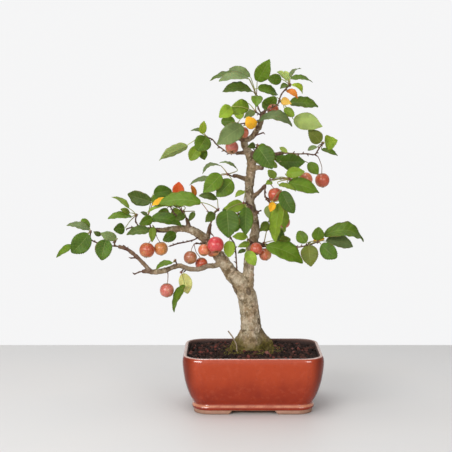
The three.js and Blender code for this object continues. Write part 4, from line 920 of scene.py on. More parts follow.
def strewn(bench, wires):
    """Points scattered over the source, none nearer to another than the spacing."""
    sockets = {"Mesh": "Source", "Distance Min": "Spacing", "Density Max": "Density", "Seed": "Seed"}
    values = {socket: wires[label] for socket, label in sockets.items()}
    return bench.node("GeometryNodeDistributePointsOnFaces", {"distribute_method": "POISSON"}, values)


def shaded(bench, copies):
    """Gives each copy a random number, which its finish reads as its shade."""
    values = {"Geometry": copies, "Name": "shade", "Value": bench.chance(11)}
    return bench.node("GeometryNodeStoreNamedAttribute", {"data_type": "FLOAT", "domain": "INSTANCE"}, values)


def grain_recipe(bench, wires):
    """Rounded blocks of 24 faces strewn over a surface, each turned, sized and dented."""
    place = bench.position()
    block = bench.node("GeometryNodeMeshCube", None, {"Vertices X": 3, "Vertices Y": 3, "Vertices Z": 3})
    ball = {"Geometry": block, "Position": bench.vectors("NORMALIZE", place)}
    block = bench.node("GeometryNodeSetPosition", None, ball)
    turn = bench.chance_vector(3, (0.0, 0.0, 0.0), (math.tau,) * 3)
    size = bench.scaled(bench.chance_vector(5, (0.55, 0.5, 0.45), (1.6, 1.15, 1.0)), wires["Size"])
    placed = bench.realised(shaded(bench, bench.copies(strewn(bench, wires), block, turn, size)))
    dents = bench.cloud(place, 3.2, 1.0, 0.5, 0.0, 1)
    push = bench.scaled(bench.vectors("SUBTRACT", dents, (0.5, 0.5, 0.5)), wires["Dents"])
    return bench.node("GeometryNodeSetPosition", None, {"Geometry": placed, "Offset": push})


def moss_sprig(bench):
    """A cushion of moss tips: short cones standing round a middle one."""
    cone = bench.cone(4, 1, 0.05, 0.3, 1.5)
    ring = bench.node("GeometryNodeMeshCircle", None, {"Vertices": 5, "Radius": 0.55})
    out = bench.vectors("ADD", bench.position(), (0.0, 0.0, 0.7))
    aim = bench.node("FunctionNodeAlignRotationToVector", {"axis": "Z"}, {"Vector": out})
    return bench.realised(bench.joined(bench.copies(ring, cone, aim), cone))


def moss_recipe(bench, wires):
    """Moss cushions standing on a surface, thick in patches and thin between them."""
    points = strewn(bench, wires)
    stand = Wire(bench, points.socket.node.outputs["Rotation"])
    place = bench.position()
    across, _, height = bench.parts(place)
    flank = bench.band(abs(across - MIDDLE_X + 1.5 * MM), 8 * MM, 20 * MM, -0.06, 0.1)
    patchy = bench.cloud(place, 11.0, 2.0) + flank + bench.band(height, 78 * MM, 90 * MM, 0.1, -0.2)
    bare = {"Geometry": points, "Selection": bench.maths("LESS_THAN", patchy, wires["Bareness"])}
    points = bench.node("GeometryNodeDeleteGeometry", {"domain": "POINT"}, bare)
    size = bench.chance(5, 0.5, 1.2) * wires["Size"]
    return shaded(bench, bench.copies(points, moss_sprig(bench), stand, size))


# Wood


def seat(name):
    """Where a spray, a leaf or a bunch sits: the end of its spur or branch, the way that points, and its
    radius."""
    if name in SPURS:
        start, end = np.array(SPURS[name], float)
        return end, unit(end - start), SPUR_RADIUS
    path = smooth_path(BRANCHES[name], 0.25)
    return path[-1, :3], unit(path[-1, :3] - path[-2, :3]), path[-1, 3]


def spur_rows():
    """The spurs as rows of two stations."""
    rows = []
    for name, (start, end) in SPURS.items():
        radius = SPUR_RADIUS if name in SPRAYS else PEG_RADIUS
        rows.append([[*start, 1.2 * radius], [*end, radius]])
    return rows


def split_wood():
    """The stout stretches of the branches, which are carved with the trunk, and the thin ones, which
    are drawn as twigs."""
    stout, thin = [], []
    for stations in BRANCHES.values():
        path = smooth_path(stations, 1.0)
        slender = np.flatnonzero(path[:, 3] < THIN_WOOD)
        cut = int(slender[0]) if len(slender) else len(path)
        if cut > 6:
            stout.append(path[: min(cut + 2, len(path))])
            if cut < len(path) - 2:
                thin.append(path[max(cut - 4, 0) :])
        else:
            thin.append(path)
    thin.extend(smooth_path(rows, 1.0) for rows in spur_rows())
    return stout, thin


def knobbly(path, seed, spacing=(4, 10), rise=0.32, fullness=TWIG_FULLNESS):
    """Fills out a twig and swells it at its bud scars."""
    draw = random.Random(seed)
    lengths = np.concatenate([[0], np.cumsum(np.linalg.norm(np.diff(path[:, :3], axis=0), axis=1))])
    swell = np.ones(len(path))
    at = draw.uniform(2, spacing[0])
    while at < lengths[-1]:
        swell += rise * draw.uniform(0.5, 1.2) * np.exp(-(((lengths - at) / draw.uniform(0.7, 1.3)) ** 2))
        at += draw.uniform(*spacing)
    path = path.copy()
    path[:, 3] = (path[:, 3] + fullness * np.clip((THIN_WOOD - path[:, 3]) / 0.8, 0, 1)) * swell
    return path


def wood_shape(voxel, trunk, stout):
    """The trunk and stout limbs as one shape: the stems are skinned, fused and softened."""
    skin = Skin()
    angles = np.linspace(0, 2 * math.pi, 64, endpoint=False)
    skin.add(np.vstack([trunk_ring(row, angles) for row in trunk]), rings_to_faces(len(trunk), len(angles)))
    for i, path in enumerate(stout):
        rise = 0.08 + 0.16 * (1 - min(float(path[:, 3].mean()), 8) / 8)
        skin.add(*stem(knobbly(path, 50 + i, (6, 15), rise), 24))
    blank = finished("wood_blank", skin.mesh("wood_blank"))
    fuse = blank.modifiers.new("fuse", "REMESH")
    fuse.mode, fuse.voxel_size, fuse.use_smooth_shade = "VOXEL", voxel * MM, True
    soften = blank.modifiers.new("soften", "SMOOTH")
    soften.factor, soften.iterations = 0.5, 4
    return as_plain_mesh(blank, "trunk_and_limbs")


def girths_at(places, trunk, stout):
    """The thickness of the wood nearest to each place."""
    spine = [(row[:3], row[3]) for path in (trunk, *stout) for row in path]
    tree = kdtree.KDTree(len(spine))
    for i, (place, _) in enumerate(spine):
        tree.insert(place, i)
    tree.balance()
    return np.array([spine[tree.find(place)[1]][1] for place in places])


def carve_bark(mesh, trunk, stout, depth):
    """Raises lumps, long ridges, flakes and healed scars on the wood, and notes its girth."""
    count = len(mesh.vertices)
    places, normals = np.zeros(count * 3, np.float32), np.zeros(count * 3, np.float32)
    mesh.vertices.foreach_get("co", places)
    mesh.vertex_normals.foreach_get("vector", normals)
    places, normals = (places.reshape(-1, 3) - ORIGIN) / MM, normals.reshape(-1, 3)
    girths = girths_at(places, trunk, stout)
    raised, healed = np.zeros(count), np.zeros(count)
    for i, (x, y, z) in enumerate(places):
        lumps = noise.fractal(Vector((x, y, z)) * 0.07, 0.9, 2.1, 3)
        ridges = noise.fractal(Vector((x * 0.34, y * 0.34, z * 0.2)), 0.8, 2.2, 3)
        flakes = noise.noise(Vector((x * 0.75, y * 0.75, z * 0.6)))
        share = min(1.0, girths[i] / 12)
        gnarled = 1 + 0.9 * blend_between(195, 235, z) * (girths[i] > 3.5)
        raised[i] = depth * gnarled * (lumps * share + 0.45 * ridges * (0.35 + share) + 0.2 * flakes)
    for x, y, z, ring in SCARS:
        away = np.linalg.norm((places - (x, y, z)) * (1, 1, 0.75), axis=1) / ring
        raised += np.exp(-(((away - 1) / 0.3) ** 2)) - 1.1 * np.exp(-((away / 0.55) ** 2))
        healed = np.maximum(healed, np.clip(1.5 - away, 0, 1.5))
    around = np.arctan2(places[:, 1] - TRUNK_FOOT[1], places[:, 0] - TRUNK_FOOT[0])
    collar = NECK_HEIGHT + 1.6 * np.sin(around + 0.8) + 0.8 * np.sin(3 * around)
    near = np.exp(-(((places[:, 2] - collar) / 1.3) ** 2)) * (np.abs(places[:, 0]) < 30)
    raised -= 1.1 * near * (0.6 + 0.4 * np.sin(2 * around + 1))
    places = places + normals * raised[:, None]
    mesh.vertices.foreach_set("co", (places * MM + ORIGIN).astype(np.float32).ravel())
    for label, values in (("girth", girths), ("relief", raised), ("healed", healed)):
        note(mesh, label, values)
    mesh.update()


def twig_lines(name, paths):
    """Bare lines along the twigs, with their thickness at each place."""
    places, edges = [], []
    for path in paths:
        edges.extend((len(places) + i, len(places) + i + 1) for i in range(len(path) - 1))
        places.extend((path[:, :3] * MM + ORIGIN).tolist())
    mesh = bpy.data.meshes.new(name)
    mesh.from_pydata(places, edges, [])
    note(mesh, "girth", np.concatenate([path[:, 3] for path in paths]))
    return mesh


def side_buds(bench, wires, line, girth):
    """Little buds and bud scars standing off the twigs, each turned its own way."""
    values = {"Curve": line, "Length": wires["Bud spacing"]}
    points = bench.node("GeometryNodeCurveToPoints", {"mode": "LENGTH"}, values)
    stand = Wire(bench, points.socket.node.outputs["Rotation"])
    spin = bench.node("ShaderNodeCombineXYZ", None, {"Z": bench.chance(21, 0.0, math.tau)})
    for angles in (spin, (1.05, 0.0, 0.0)):
        turn = bench.node("FunctionNodeEulerToRotation", None, {"Euler": angles})
        values = {"Rotation": stand, "Rotate By": turn}
        stand = bench.node("FunctionNodeRotateRotation", {"rotation_space": "LOCAL"}, values)
    wide = (0.4 * girth + 0.3) * MM
    high = (girth + wires["Bud length"] * bench.chance(22, 0.3, 1.5)) * MM
    size = bench.node("ShaderNodeCombineXYZ", None, {0: wide, 1: wide, 2: high})
    return bench.copies(points, bench.cone(7, 2, 0.3, 1.0, 1.0), stand, size)


def twig_recipe(bench, wires):
    """Draws a rough round twig along each line, as thick as the line says, with closed ends and buds."""
    girth = bench.node("GeometryNodeInputNamedAttribute", {"data_type": "FLOAT"}, {"Name": "girth"})
    line = bench.node("GeometryNodeMeshToCurve", None, {"Mesh": wires["Source"]})
    line = bench.node("GeometryNodeSetCurveRadius", None, {"Curve": line, "Radius": girth})
    values = {"Resolution": wires["Sides"], "Radius": MM}
    section = bench.node("GeometryNodeCurvePrimitiveCircle", {"mode": "RADIUS"}, values)
    values = {"Curve": line, "Profile Curve": section, "Fill Caps": True}
    skin = bench.node("GeometryNodeCurveToMesh", None, values)
    rough = bench.cloud(bench.position(), 2.6, 2.0) - 0.5
    push = bench.scaled(bench.node("GeometryNodeInputNormal"), rough * wires["Roughness"])
    skin = bench.node("GeometryNodeSetPosition", None, {"Geometry": skin, "Offset": push})
    return bench.joined(side_buds(bench, wires, line, girth), skin)


# Leaves


def blade_directions(base, tip, roll):
    """The blade's own directions. Roll 0 turns its upper side to the front, 90 turns it up."""
    length = float(np.linalg.norm(tip - base))
    along = (tip - base) / length
    front = unit(np.array([0, -1.0, 0]) + along * along[1])
    side = np.cross(along, front)
    level = abs(side[2]) <= 0.05
    if side[2] < -0.05 or (level and side[0] < 0):
        side = -side
    turn = math.radians(roll)
    face = front * math.cos(turn) + side * math.sin(turn)
    return along, face, np.cross(along, face), length


def petiole_middle(base, start, along, face):
    """Where a petiole bends. It never comes back over its own blade."""
    middle = start + (base - start) * 0.55
    away = float(np.linalg.norm(base - start))
    middle[2] += 0.07 * away
    reach = base - middle
    if reach.dot(along) > TURN_BACK * np.linalg.norm(reach):
        return middle
    bend = min(PETIOLE_BEND, 0.4 * away)
    return base - along * bend + face * np.sign((start - base).dot(face)) * bend


def half_width(t, taper, drawn_out):
    """Share of the half-width a blade has at a share of its length: full before the middle, with a more
    or less drawn out tip."""
    fullest = 0.56 / (0.56 + taper)
    most = fullest**0.56 * (1 - fullest) ** taper
    body = np.clip(t, 0, 1) ** 0.56 * np.clip(1 - t, 0, 1) ** taper / most
    return body * (1 - drawn_out * blend_between(0.72, 0.93, t))


def along_stem(shares, sides):
    """What the corners of a stem hold: its ring's share, and two noughts."""
    return np.column_stack([np.repeat(shares, sides), np.zeros((len(shares) * sides, 2))])


def blade_faces(rows, columns):
    """Faces of a blade: the upper side, the lower side n corners later, its edges, and the tip, which is
    the last corner."""
    n, last = (rows + 1) * columns, rows * columns
    faces = []
    for r in range(rows):
        for c in range(columns - 1):
            a = r * columns + c
            faces.append((a, a + 1, a + columns + 1, a + columns))
            faces.append((a + n, a + n + columns, a + n + columns + 1, a + n + 1))
        a, b = r * columns + columns - 1, r * columns
        faces.append((a, a + n, a + n + columns, a + columns))
        faces.append((b, b + columns, b + n + columns, b + n))
    for c in range(columns - 1):
        faces.append((last + c, last + c + 1, 2 * n))
        faces.append((last + n + c + 1, last + n + c, 2 * n))
        faces.append((c + 1, c, c + n, c + n + 1))
    faces.append((last + columns - 1, last + n + columns - 1, 2 * n))
    faces.append((last + n, last, 2 * n))
    return faces


def add_leaf(skin, row, start, start_radius, sizes, draw):
    """One leaf: a slender petiole that runs on as the rib of a toothed, arched and rippled blade."""
    base, tip = np.array(row[0:3], float), np.array(row[3:6], float)
    width, roll, arch, kind = row[6:10]
    tint = pigment(*LEAF_TINTS[kind])
    along, face, across, length = blade_directions(base, tip, roll)
    rows = 2 * max(8, round(length / sizes.tooth_spacing))
    phase, ripple, seed = draw.uniform(0, math.tau), draw.uniform(0.4, 1.6), draw.random()
    taper, sweep = draw.uniform(0.6, 0.9), draw.uniform(-0.045, 0.045)
    twist, droop = draw.uniform(-0.35, 0.35), draw.uniform(0.0, 0.3)
    drawn_out = draw.uniform(0.1, 0.4) * min(1, max(0, 2.4 - 2.6 * width / length))
    t = 0.012 + (0.985 - 0.012) * np.arange(rows + 1) / rows
    half = 0.5 * width * np.maximum(half_width(t, taper, drawn_out), 0.03)
    odd = np.arange(rows + 1) % 2 == 1
    cut = blend_between(0.04, 0.14, t) * (1 - blend_between(0.9, 0.99, t))
    wave = -BLADE_WAVE * width * np.cos(math.tau * (t - 0.1) / 0.49)
    rib = -BLADE_WAVE * width * blend_between(0, 0.3, t) * (1 - blend_between(0.7, 1, t))
    upper, place = [], []
    for s in BLADE_COLUMNS:
        reach = half * (1 + 0.025 * ripple * np.sin(math.tau * 1.4 * t + phase * (2 + s)))
        ahead = np.zeros(rows + 1)
        if abs(s) == 1:
            reach = reach * (1 + cut * np.where(odd, 0.035, -0.035))
            ahead = cut * np.where(odd, 0.55 * (t[1] - t[0]), 0)
        edge = BLADE_FOLD * half + np.sign(s) * wave
        lift = rib + (edge - rib) * abs(s) ** 1.25
        lift = lift + 0.02 * width * ripple * np.sin(math.tau * 4.3 * t + phase + 2.0 * s) * abs(s) ** 3
        quilt = np.cos(math.tau * (sizes.vein_pairs * t - 1.5 * abs(s))) * math.sin(math.pi * abs(s))
        lift = lift + 0.0035 * width * quilt * cut + s * reach * twist * (t - 0.4)
        lift = lift + 4 * arch * length * t * (1 - t) - droop * length * np.clip(t - 0.55, 0, 1) ** 2
        beside = s * reach + sweep * length * np.sin(math.pi * t)
        ways = np.outer((t + ahead) * length, along), np.outer(beside, across), np.outer(lift, face)
        upper.append(base + ways[0] + ways[1] + ways[2])
        place.append(np.column_stack([t + ahead, np.full(rows + 1, float(s))]))
    upper, flat = np.stack(upper, 1), np.stack(place, 1).reshape(-1, 2)
    deep = sizes.blade_thickness + np.outer(0.1 + 0.42 * (1 - t), RIDGE)
    lower = upper - deep[:, :, None] * face
    groove = np.outer(0.16 * (1 - 0.6 * t), np.floor(RIDGE))
    upper = upper - groove[:, :, None] * face
    point = base + along * length - face * (droop * length * 0.2025 + 0.5 * sizes.blade_thickness)
    points = np.vstack([upper.reshape(-1, 3), lower.reshape(-1, 3), point])
    held = np.vstack([at_height(flat, 1), at_height(flat, 0), [[1, 0, 0.5]]])
    skin.add(points, blade_faces(rows, len(BLADE_COLUMNS)), 0, tint=tint, blade=held, seed=seed)

    middle = petiole_middle(base, start, along, face)
    stations = [
        [*start, start_radius], [*middle, 0.62], [*base, 0.55],
        [*(base + along * 0.07 * length - face * 0.22), 0.3],
    ]
    path = smooth_path(stations, max(0.8, float(np.linalg.norm(base - start)) / 9))
    held = along_stem(np.linspace(0, 1, len(path)), 7)
    skin.add(*stem(path, 7), 1, tint=tint, seed=seed, blade=held)


def add_bud(skin, end, way, radius, draw):
    """A slender bud of wound scales at the end of a twig, some of them opened outwards."""
    seed = draw.random()
    profile = [
        [0.1, 0.02], [0.12, 0.92 * radius], [0.9, 1.05 * radius], [1.9, 1.15 * radius],
        [2.8, 0.95 * radius], [3.7, 0.7 * radius], [4.5, 0.4 * radius], [5.1, 0.14], [5.25, 0.02],
    ]
    rise = smooth_path([[0, reach, height] for height, reach in profile], 0.45)
    rows = [[row[2], max(row[1], 0.02)] for row in rise]

    def scales(height, turns):
        return 1 + 0.13 * ((turns * 3 / math.tau + 0.42 * height) % 1.0)

    corners, faces, _ = turned_shape(rows, end, way, 12, scales)
    skin.add(corners, faces, 2, seed=seed, blade=along_stem([row[0] for row in rows], 12))
    aside, second = square_to(way)
    turn = draw.uniform(0, math.tau)
    for _ in range(5):
        turn += math.tau / 5 + draw.uniform(-0.3, 0.3)
        out = aside * math.cos(turn) + second * math.sin(turn)
        reach, height = 0.8 * radius, draw.uniform(0.8, 2.6)
        path = np.array([
            [*(end + way * height + out * reach), 0.5],
            [*(end + way * (height + 1.1) + out * (reach + 0.5)), 0.55],
            [*(end + way * (height + 2.3) + out * (reach + draw.uniform(0.7, 1.6))), 0.1],
        ])
        skin.add(*stem(path, 5), 2, seed=seed, blade=along_stem([1.5, 3.0, 4.6], 5))


def spray_mesh(name, leaves, sizes):
    draw = random.Random("spray " + name)
    end, way, radius = seat(name)
    skin = Skin(**LEAF_READS)
    add_bud(skin, end, way, radius, draw)
    for row in leaves:
        add_leaf(skin, row, end + way * 2.4, 0.75, sizes, draw)
    return skin.mesh("leaves_" + name)


def single_leaf_mesh(name, row, sizes):
    draw = random.Random("leaf " + name)
    end, way, _ = seat(name)
    skin = Skin(**LEAF_READS)
    add_leaf(skin, row, end + way * (GAP + 0.55), 0.6, sizes, draw)
    return skin.mesh("leaf_" + name)


# Apples


def add_apple(skin, apple, end, way, order, draw):
    """An apple with its dry calyx on a long stalk. The second stalk of a pair starts inside the first."""
    centre, radius = np.array(apple[:3], float), float(apple[3])
    ground, flush = (pigment(*tint) for tint in APPLE_TINTS[apple[4]])
    up = unit(0.4 * unit(end - centre) + np.array([0, 0, 0.6]))
    seed = draw.random()
    lean = draw.uniform(0, math.tau)
    rows = smooth_path([[0, reach, rise] for rise, reach in APPLE_PROFILE], 0.075)
    profile = [[row[2] * radius, max(row[1], 0.015) * radius] for row in rows]

    def lobes(rise, turns):
        five = 0.022 * np.cos(5 * turns + lean) * blend_between(0.3, -0.9, rise / radius)
        return 1 + five + 0.012 * np.cos(2 * turns + 2 * lean)

    corners, faces, turns = turned_shape(profile, centre, up, APPLE_SIDES, lobes)
    sun = unit(np.array([draw.uniform(-0.6, 0.6), -0.8, draw.uniform(0.1, 0.7)]))
    cheek = (corners - centre) @ sun / radius
    rise = (corners - centre) @ up / radius
    looks = {"ground": ground, "flush": flush, "seed": seed}
    skin.add(corners, faces, 0, fruit=np.column_stack([cheek, rise, np.tile(turns, len(profile))]), **looks)
    aside, second = square_to(up)
    for k in range(5):
        turn = lean + k * math.tau / 5 + draw.uniform(-0.2, 0.2)
        out = aside * math.cos(turn) + second * math.sin(turn)
        sepal = []
        for down, away, thick in SEPAL:
            sepal.append([*(centre - up * down * radius + out * away * radius), thick * radius])
        skin.add(*stem(np.array(sepal), 5), 2, **looks)
    root = end + way * (GAP + 0.05 + 0.3 * order)
    neck = end + way * (2 + 0.2 * order)
    top = centre + up * 0.77 * radius
    middle = (neck + top) / 2 + way * 0.12 * float(np.linalg.norm(neck - top))
    slim = 1 - 0.1 * order
    stations = [
        [*root, 0.95 * slim], [*(root + way * 0.9), 0.75 * slim], [*neck, 0.62 * slim], [*middle, 0.46],
        [*(middle * 0.4 + (top + up * 0.1 * radius) * 0.6), 0.47], [*top, 0.7],
    ]
    path = smooth_path(stations, 1.0)
    skin.add(*stem(path, 8), 1, fruit=along_stem(np.linspace(0, 1, len(path)), 8), **looks)


def bunch_mesh(name, bunch):
    draw = random.Random("apple " + name)
    end, way, _ = seat(name)
    skin = Skin(**APPLE_READS)
    for order, apple in enumerate(bunch):
        add_apple(skin, apple, end, way, order, draw)
    return skin.mesh("fruit_" + name)


# Finishes


@finish("iron_red_glaze", coat_roughness=0.14, coat_ior=1.75, specular_ior_level=0.16)
def glaze_finish(bench, place, looks):
    """Glossy iron-red glaze: rubbed pale at the lip and the foot's roll, deeper where it pooled. It also
    holds painted light: lighter towards the top, painted highlights on the lip and roll at the corners,
    painted shade on the end walls and the back rim, and a rim top pale over the end walls and dark along the
    front and back.
    """
    across, depth, height = bench.parts(place)
    aside = abs(across - MIDDLE_X)
    # corner spans where the walls turn round the pot's corners; below it sets painted highlights on the roll
    # and lip
    ends, corner = bench.band(aside, 0.076, 0.09), bench.band(aside, 0.05, 0.07)
    back = bench.band(depth - MIDDLE_Y, 0.04, 0.068) * bench.band(height, 0.0765, 0.078)
    broad = bench.cloud(bench.stretched(place, (1, 1, 1.6)), 46, 4, 0.55)
    fine = bench.cloud(place, 3.2, 4, 0.6)
    flow = bench.cloud(bench.stretched(place, (1, 1, 0.18)), 9, 3, 0.5)
    rise = bench.band(height, 0.012, 0.076) * 0.75
    cloudy = bench.band(bench.cloud(place, 7, 4, 0.65), 0.5, 0.68)
    freckle = bench.band(bench.cells(place, 6.0), 0.05, 0.1, 1, 0) * bench.band(broad, 0.42, 0.6)
    grit = (fine - 0.5) * 0.0012
    wear = bench.band(height + grit, 0.0096, 0.0106) * bench.band(height, 0.0122, 0.0136, 1, 0)
    # real wear along the foot's roll, made stronger at the corners as a painted highlight
    wear_and_highlight = 0.3 + 0.4 * bench.band(flow, 0.3, 0.6) + 0.3 * corner
    lip = bench.band(height + (flow - 0.5) * 0.0006, 0.0779, 0.0786)
    edge = bench.mixed(bench.band(fine, 0.35, 0.7), (214, 180, 166), (180, 134, 120))
    top = bench.band(height, 0.0788, 0.079)
    seat_ring = bench.band(height + 0.5 * grit, 0.0056, 0.0062, 1, 0)
    body = bench.coats(
        bench.mixed(bench.band(broad, 0.34, 0.68), looks.deep_glaze, looks.glaze),
        # painted light: the glaze lightens towards the top and darkens towards the foot
        (bench.band(rise + 0.5 * flow, 0.25, 0.95) * 0.8, (174, 64, 26)),
        (bench.band(fine, 0.5, 0.8) * 0.3, (124, 38, 24)),
        (cloudy * 0.2, (186, 84, 54)),
        # painted shade: the end walls darkened
        (ends * 0.7, (88, 22, 10)),
        (freckle * 0.85, (74, 30, 22)),
        (wear * wear_and_highlight, (216, 146, 110)),
        # pale rubbed lip, brighter at the corners as a painted highlight
        (lip * (0.5 + 0.5 * corner), edge),
        # the rim's top: pale over the end walls and dark along the front and back, as painted light and shade
        (top, bench.mixed(ends, (118, 80, 72), (190, 160, 148))),
        (top * bench.band(fine, 0.4, 0.7) * 0.5, (110, 72, 62)),
        # painted shade darkening the back rim's top
        (back * 0.8, (84, 52, 46)),
        (seat_ring, (176, 138, 112)),
    )
    roll = bench.band(height, 0.008, 0.0095) * bench.band(height, 0.0135, 0.0155, 1, 0)
    thick = 0.22 + 0.78 * (bench.band(height, 0.0715, 0.075) + roll)
    rough = looks.gloss + 0.12 * fine + top * 0.2 + seat_ring * 0.5 + freckle * 0.2
    skin = 0.55 * broad + 0.3 * flow + 0.15 * fine - freckle * 0.35
    return body, rough, bench.bumped(skin, 0.35, 0.5), thick * (1 - seat_ring) * (1 - 0.75 * ends)


@finish("stained_inside")
def inside_finish(bench, place, looks):
    """Unglazed inner wall, darker below the rim towards the soil."""
    height = bench.parts(place)[2]
    broad, sand = bench.cloud(place, 14, 3), bench.cloud(place, 0.8, 3, 0.7)
    # the inner wall darkens below the rim, towards the soil
    darker_below_rim = bench.band(height + (broad - 0.5) * 0.004, 0.074, 0.079, 1, 0)
    body = bench.coats(
        bench.mixed(bench.band(broad, 0.3, 0.7), (112, 78, 68), (82, 56, 48)),
        (darker_below_rim * 0.9, (46, 30, 26)),
        (bench.band(sand, 0.5, 0.8) * 0.4, (60, 44, 38)),
    )
    return body, 0.7 + 0.2 * sand, bench.bumped(sand, 0.5, 0.25)


@finish("bare_clay")
def clay_finish(bench, place, looks):
    """Bare fired clay of the feet, sandy and darker near the table."""
    height = bench.parts(place)[2]
    broad, sand = bench.cloud(place, 12, 3), bench.cloud(place, 0.7, 3, 0.7)
    # the feet darken in their lowest 3 mm, next to the table
    darker_near_table = bench.band(height + (broad - 0.5) * 0.003, 0.0, 0.003, 1, 0)
    body = bench.coats(
        bench.mixed(bench.band(broad, 0.3, 0.7), looks.clay, (158, 118, 94)),
        (bench.band(sand, 0.55, 0.75) * 0.5, (104, 74, 58)),
        (darker_near_table * 0.55, (92, 70, 58)),
    )
    return body, 0.78 + 0.15 * sand, bench.bumped(sand, 0.5, 0.25)


@finish("soil_grains", specular_ior_level=0.2)
def grain_finish(bench, place, looks):
    """Loose fired grains and bark crumbs: mostly dark, a few brick red or dusty pink."""
    fine, dust = bench.cloud(place, 0.5, 3, 0.65), bench.cloud(place, 4, 2)
    shades = bench.ramp(
        bench.read("shade"), (0.0, (26, 17, 14)), (0.4, (38, 24, 20)), (0.66, (52, 33, 27)),
        (0.8, looks.grain), (0.9, (84, 48, 41)), (0.96, looks.red_grain), (1.0, (136, 90, 82)),
    )
    body = bench.coats(
        shades,
        (bench.band(fine, 0.45, 0.75) * 0.45, (24, 17, 14)),
        (bench.band(dust, 0.55, 0.8) * 0.12, (140, 116, 96)),
    )
    return body, 0.85 - 0.15 * fine, bench.bumped(fine, 0.7, 0.35)


@finish("damp_soil", specular_ior_level=0.2)
def bed_finish(bench, place, looks):
    """Fine wet soil between the grains."""
    crumb, broad = bench.cells(place, 1.6), bench.cloud(place, 9, 3)
    body = bench.mixed(bench.band(broad, 0.35, 0.7), (26, 19, 17), (46, 33, 27))
    body = bench.mixed(bench.band(crumb, 0.1, 0.6) * 0.5, body, (16, 12, 11))
    return body, 0.9 - 0.15 * broad, bench.bumped(crumb, 0.9, 0.6)


@finish("moss")
def moss_finish(bench, place, looks):
    shade, broad = bench.read("shade"), bench.cloud(place, 10, 2)
    body = bench.ramp(
        0.6 * shade + 0.4 * broad,
        (0.15, (70, 64, 24)), (0.45, looks.moss), (0.7, (142, 132, 54)), (0.9, (164, 144, 76)),
    )
    fine = bench.cloud(place, 0.4, 2)
    return body, 0.85 - 0.2 * fine, bench.bumped(fine, 0.4, 0.1)


@finish("apple_bark", specular_ior_level=0.3)
def bark_finish(bench, place, looks):
    """Bark: mottled greyish beige on stout wood, dark reddish brown with pale pores on twigs."""
    across, _, height = bench.parts(place)
    girth, relief, healed = bench.read("girth"), bench.read("relief"), bench.read("healed")
    broad = bench.cloud(bench.stretched(place, (1, 1, 0.7)), 17, 4, 0.6)
    level = bench.stretched(place, (1, 1, 0.8))
    mottle, patch = bench.cloud(level, 4.6, 5, 0.7, 0.4), bench.cloud(level, 15, 6, 0.7, 0.6)
    pores = bench.cloud(bench.stretched(place, (0.6, 0.6, 1.4)), 1.9, 4, 0.7)
    fine = bench.cloud(place, 0.8, 4, 0.68)
    aloft = bench.band(height, 0.198, 0.226)
    limb = bench.band(across - MIDDLE_X, -0.036, -0.012, 1, 0)
    dark = bench.band(patch, 0.53, 0.63)
    algae = bench.band(bench.cloud(place, 13, 3, 0.6), 0.5, 0.66) * bench.band(height, 0.08, 0.2, 1, 0.3)
    rim = bench.band(healed, 0.1, 0.35) * bench.band(healed, 0.6, 0.85, 1, 0)
    flank = bench.band(abs(across - MIDDLE_X + 0.0015), 0.006, 0.019)
    rooted = bench.band(height + (patch - 0.5) * 0.04 - flank * 0.008, 0.079, 0.094, 1, 0)
    old = bench.coats(
        bench.mixed(bench.band(broad, 0.38, 0.62), looks.bark, (158, 136, 104)),
        (bench.band(bench.cloud(place, 10, 3, 0.6), 0.5, 0.64) * 0.5, (190, 158, 132)),
        (0.3 * aloft + 0.22 * limb, (112, 92, 66)),
        (bench.band(mottle, 0.5, 0.64) * (0.5 + 0.35 * aloft), (114, 92, 62)),
        (bench.band(mottle, 0.34, 0.45, 1, 0) * 0.8, (226, 214, 190)),
        (bench.band(pores, 0.56, 0.66) * (0.45 + 0.4 * aloft), (76, 58, 40)),
        (dark * 0.8, (88, 72, 42)),
        (algae * 0.5, (116, 104, 56)),
        # painted shade: darker where the carving sinks in, in the creases and hollows
        (bench.band(relief, -1.0, -0.1, 1, 0) * 0.55, (82, 62, 42)),
        (rim * 0.75, (74, 56, 38)),
        (bench.band(healed, 1.1, 1.4) * 0.7, (66, 48, 34)),
        (rooted * 0.85, (104, 90, 38)),
    )
    pale = bench.band(bench.cells(bench.stretched(place, (0.5, 0.5, 1.4)), 3.0), 0.08, 0.17, 1, 0)
    young = bench.coats(
        bench.mixed(bench.band(broad, 0.35, 0.7), looks.twig, (104, 74, 56)),
        (bench.band(fine, 0.5, 0.8) * 0.5, (52, 32, 26)),
        (bench.band(mottle, 0.56, 0.68) * 0.4, (150, 128, 102)),
        (pale * 0.6, (176, 150, 122)),
    )
    stout = bench.band(girth + (broad - 0.5) * 3.0, 2.1, 4.0)
    body = bench.mixed(stout, young, old)
    body = bench.mixed(bench.band(fine, 0.3, 0.55, 1, 0) * 0.3, body, (70, 54, 38))
    rise = 0.35 * mottle + 0.35 * fine + 0.25 * pores - 0.3 * dark
    return body, 0.78 + 0.14 * fine - 0.14 * (1 - stout), bench.bumped(rise, 0.9, 1.2)


@finish("dry_wood")
def dry_wood_finish(bench, place, looks):
    fibre = bench.cloud(bench.stretched(place, (1, 1, 0.15)), 0.7, 4, 0.6)
    body = bench.mixed(bench.band(fibre, 0.35, 0.7), (172, 154, 132), (118, 96, 76))
    return body, 0.8 + 0.1 * fibre, bench.bumped(fibre, 0.6, 0.25)


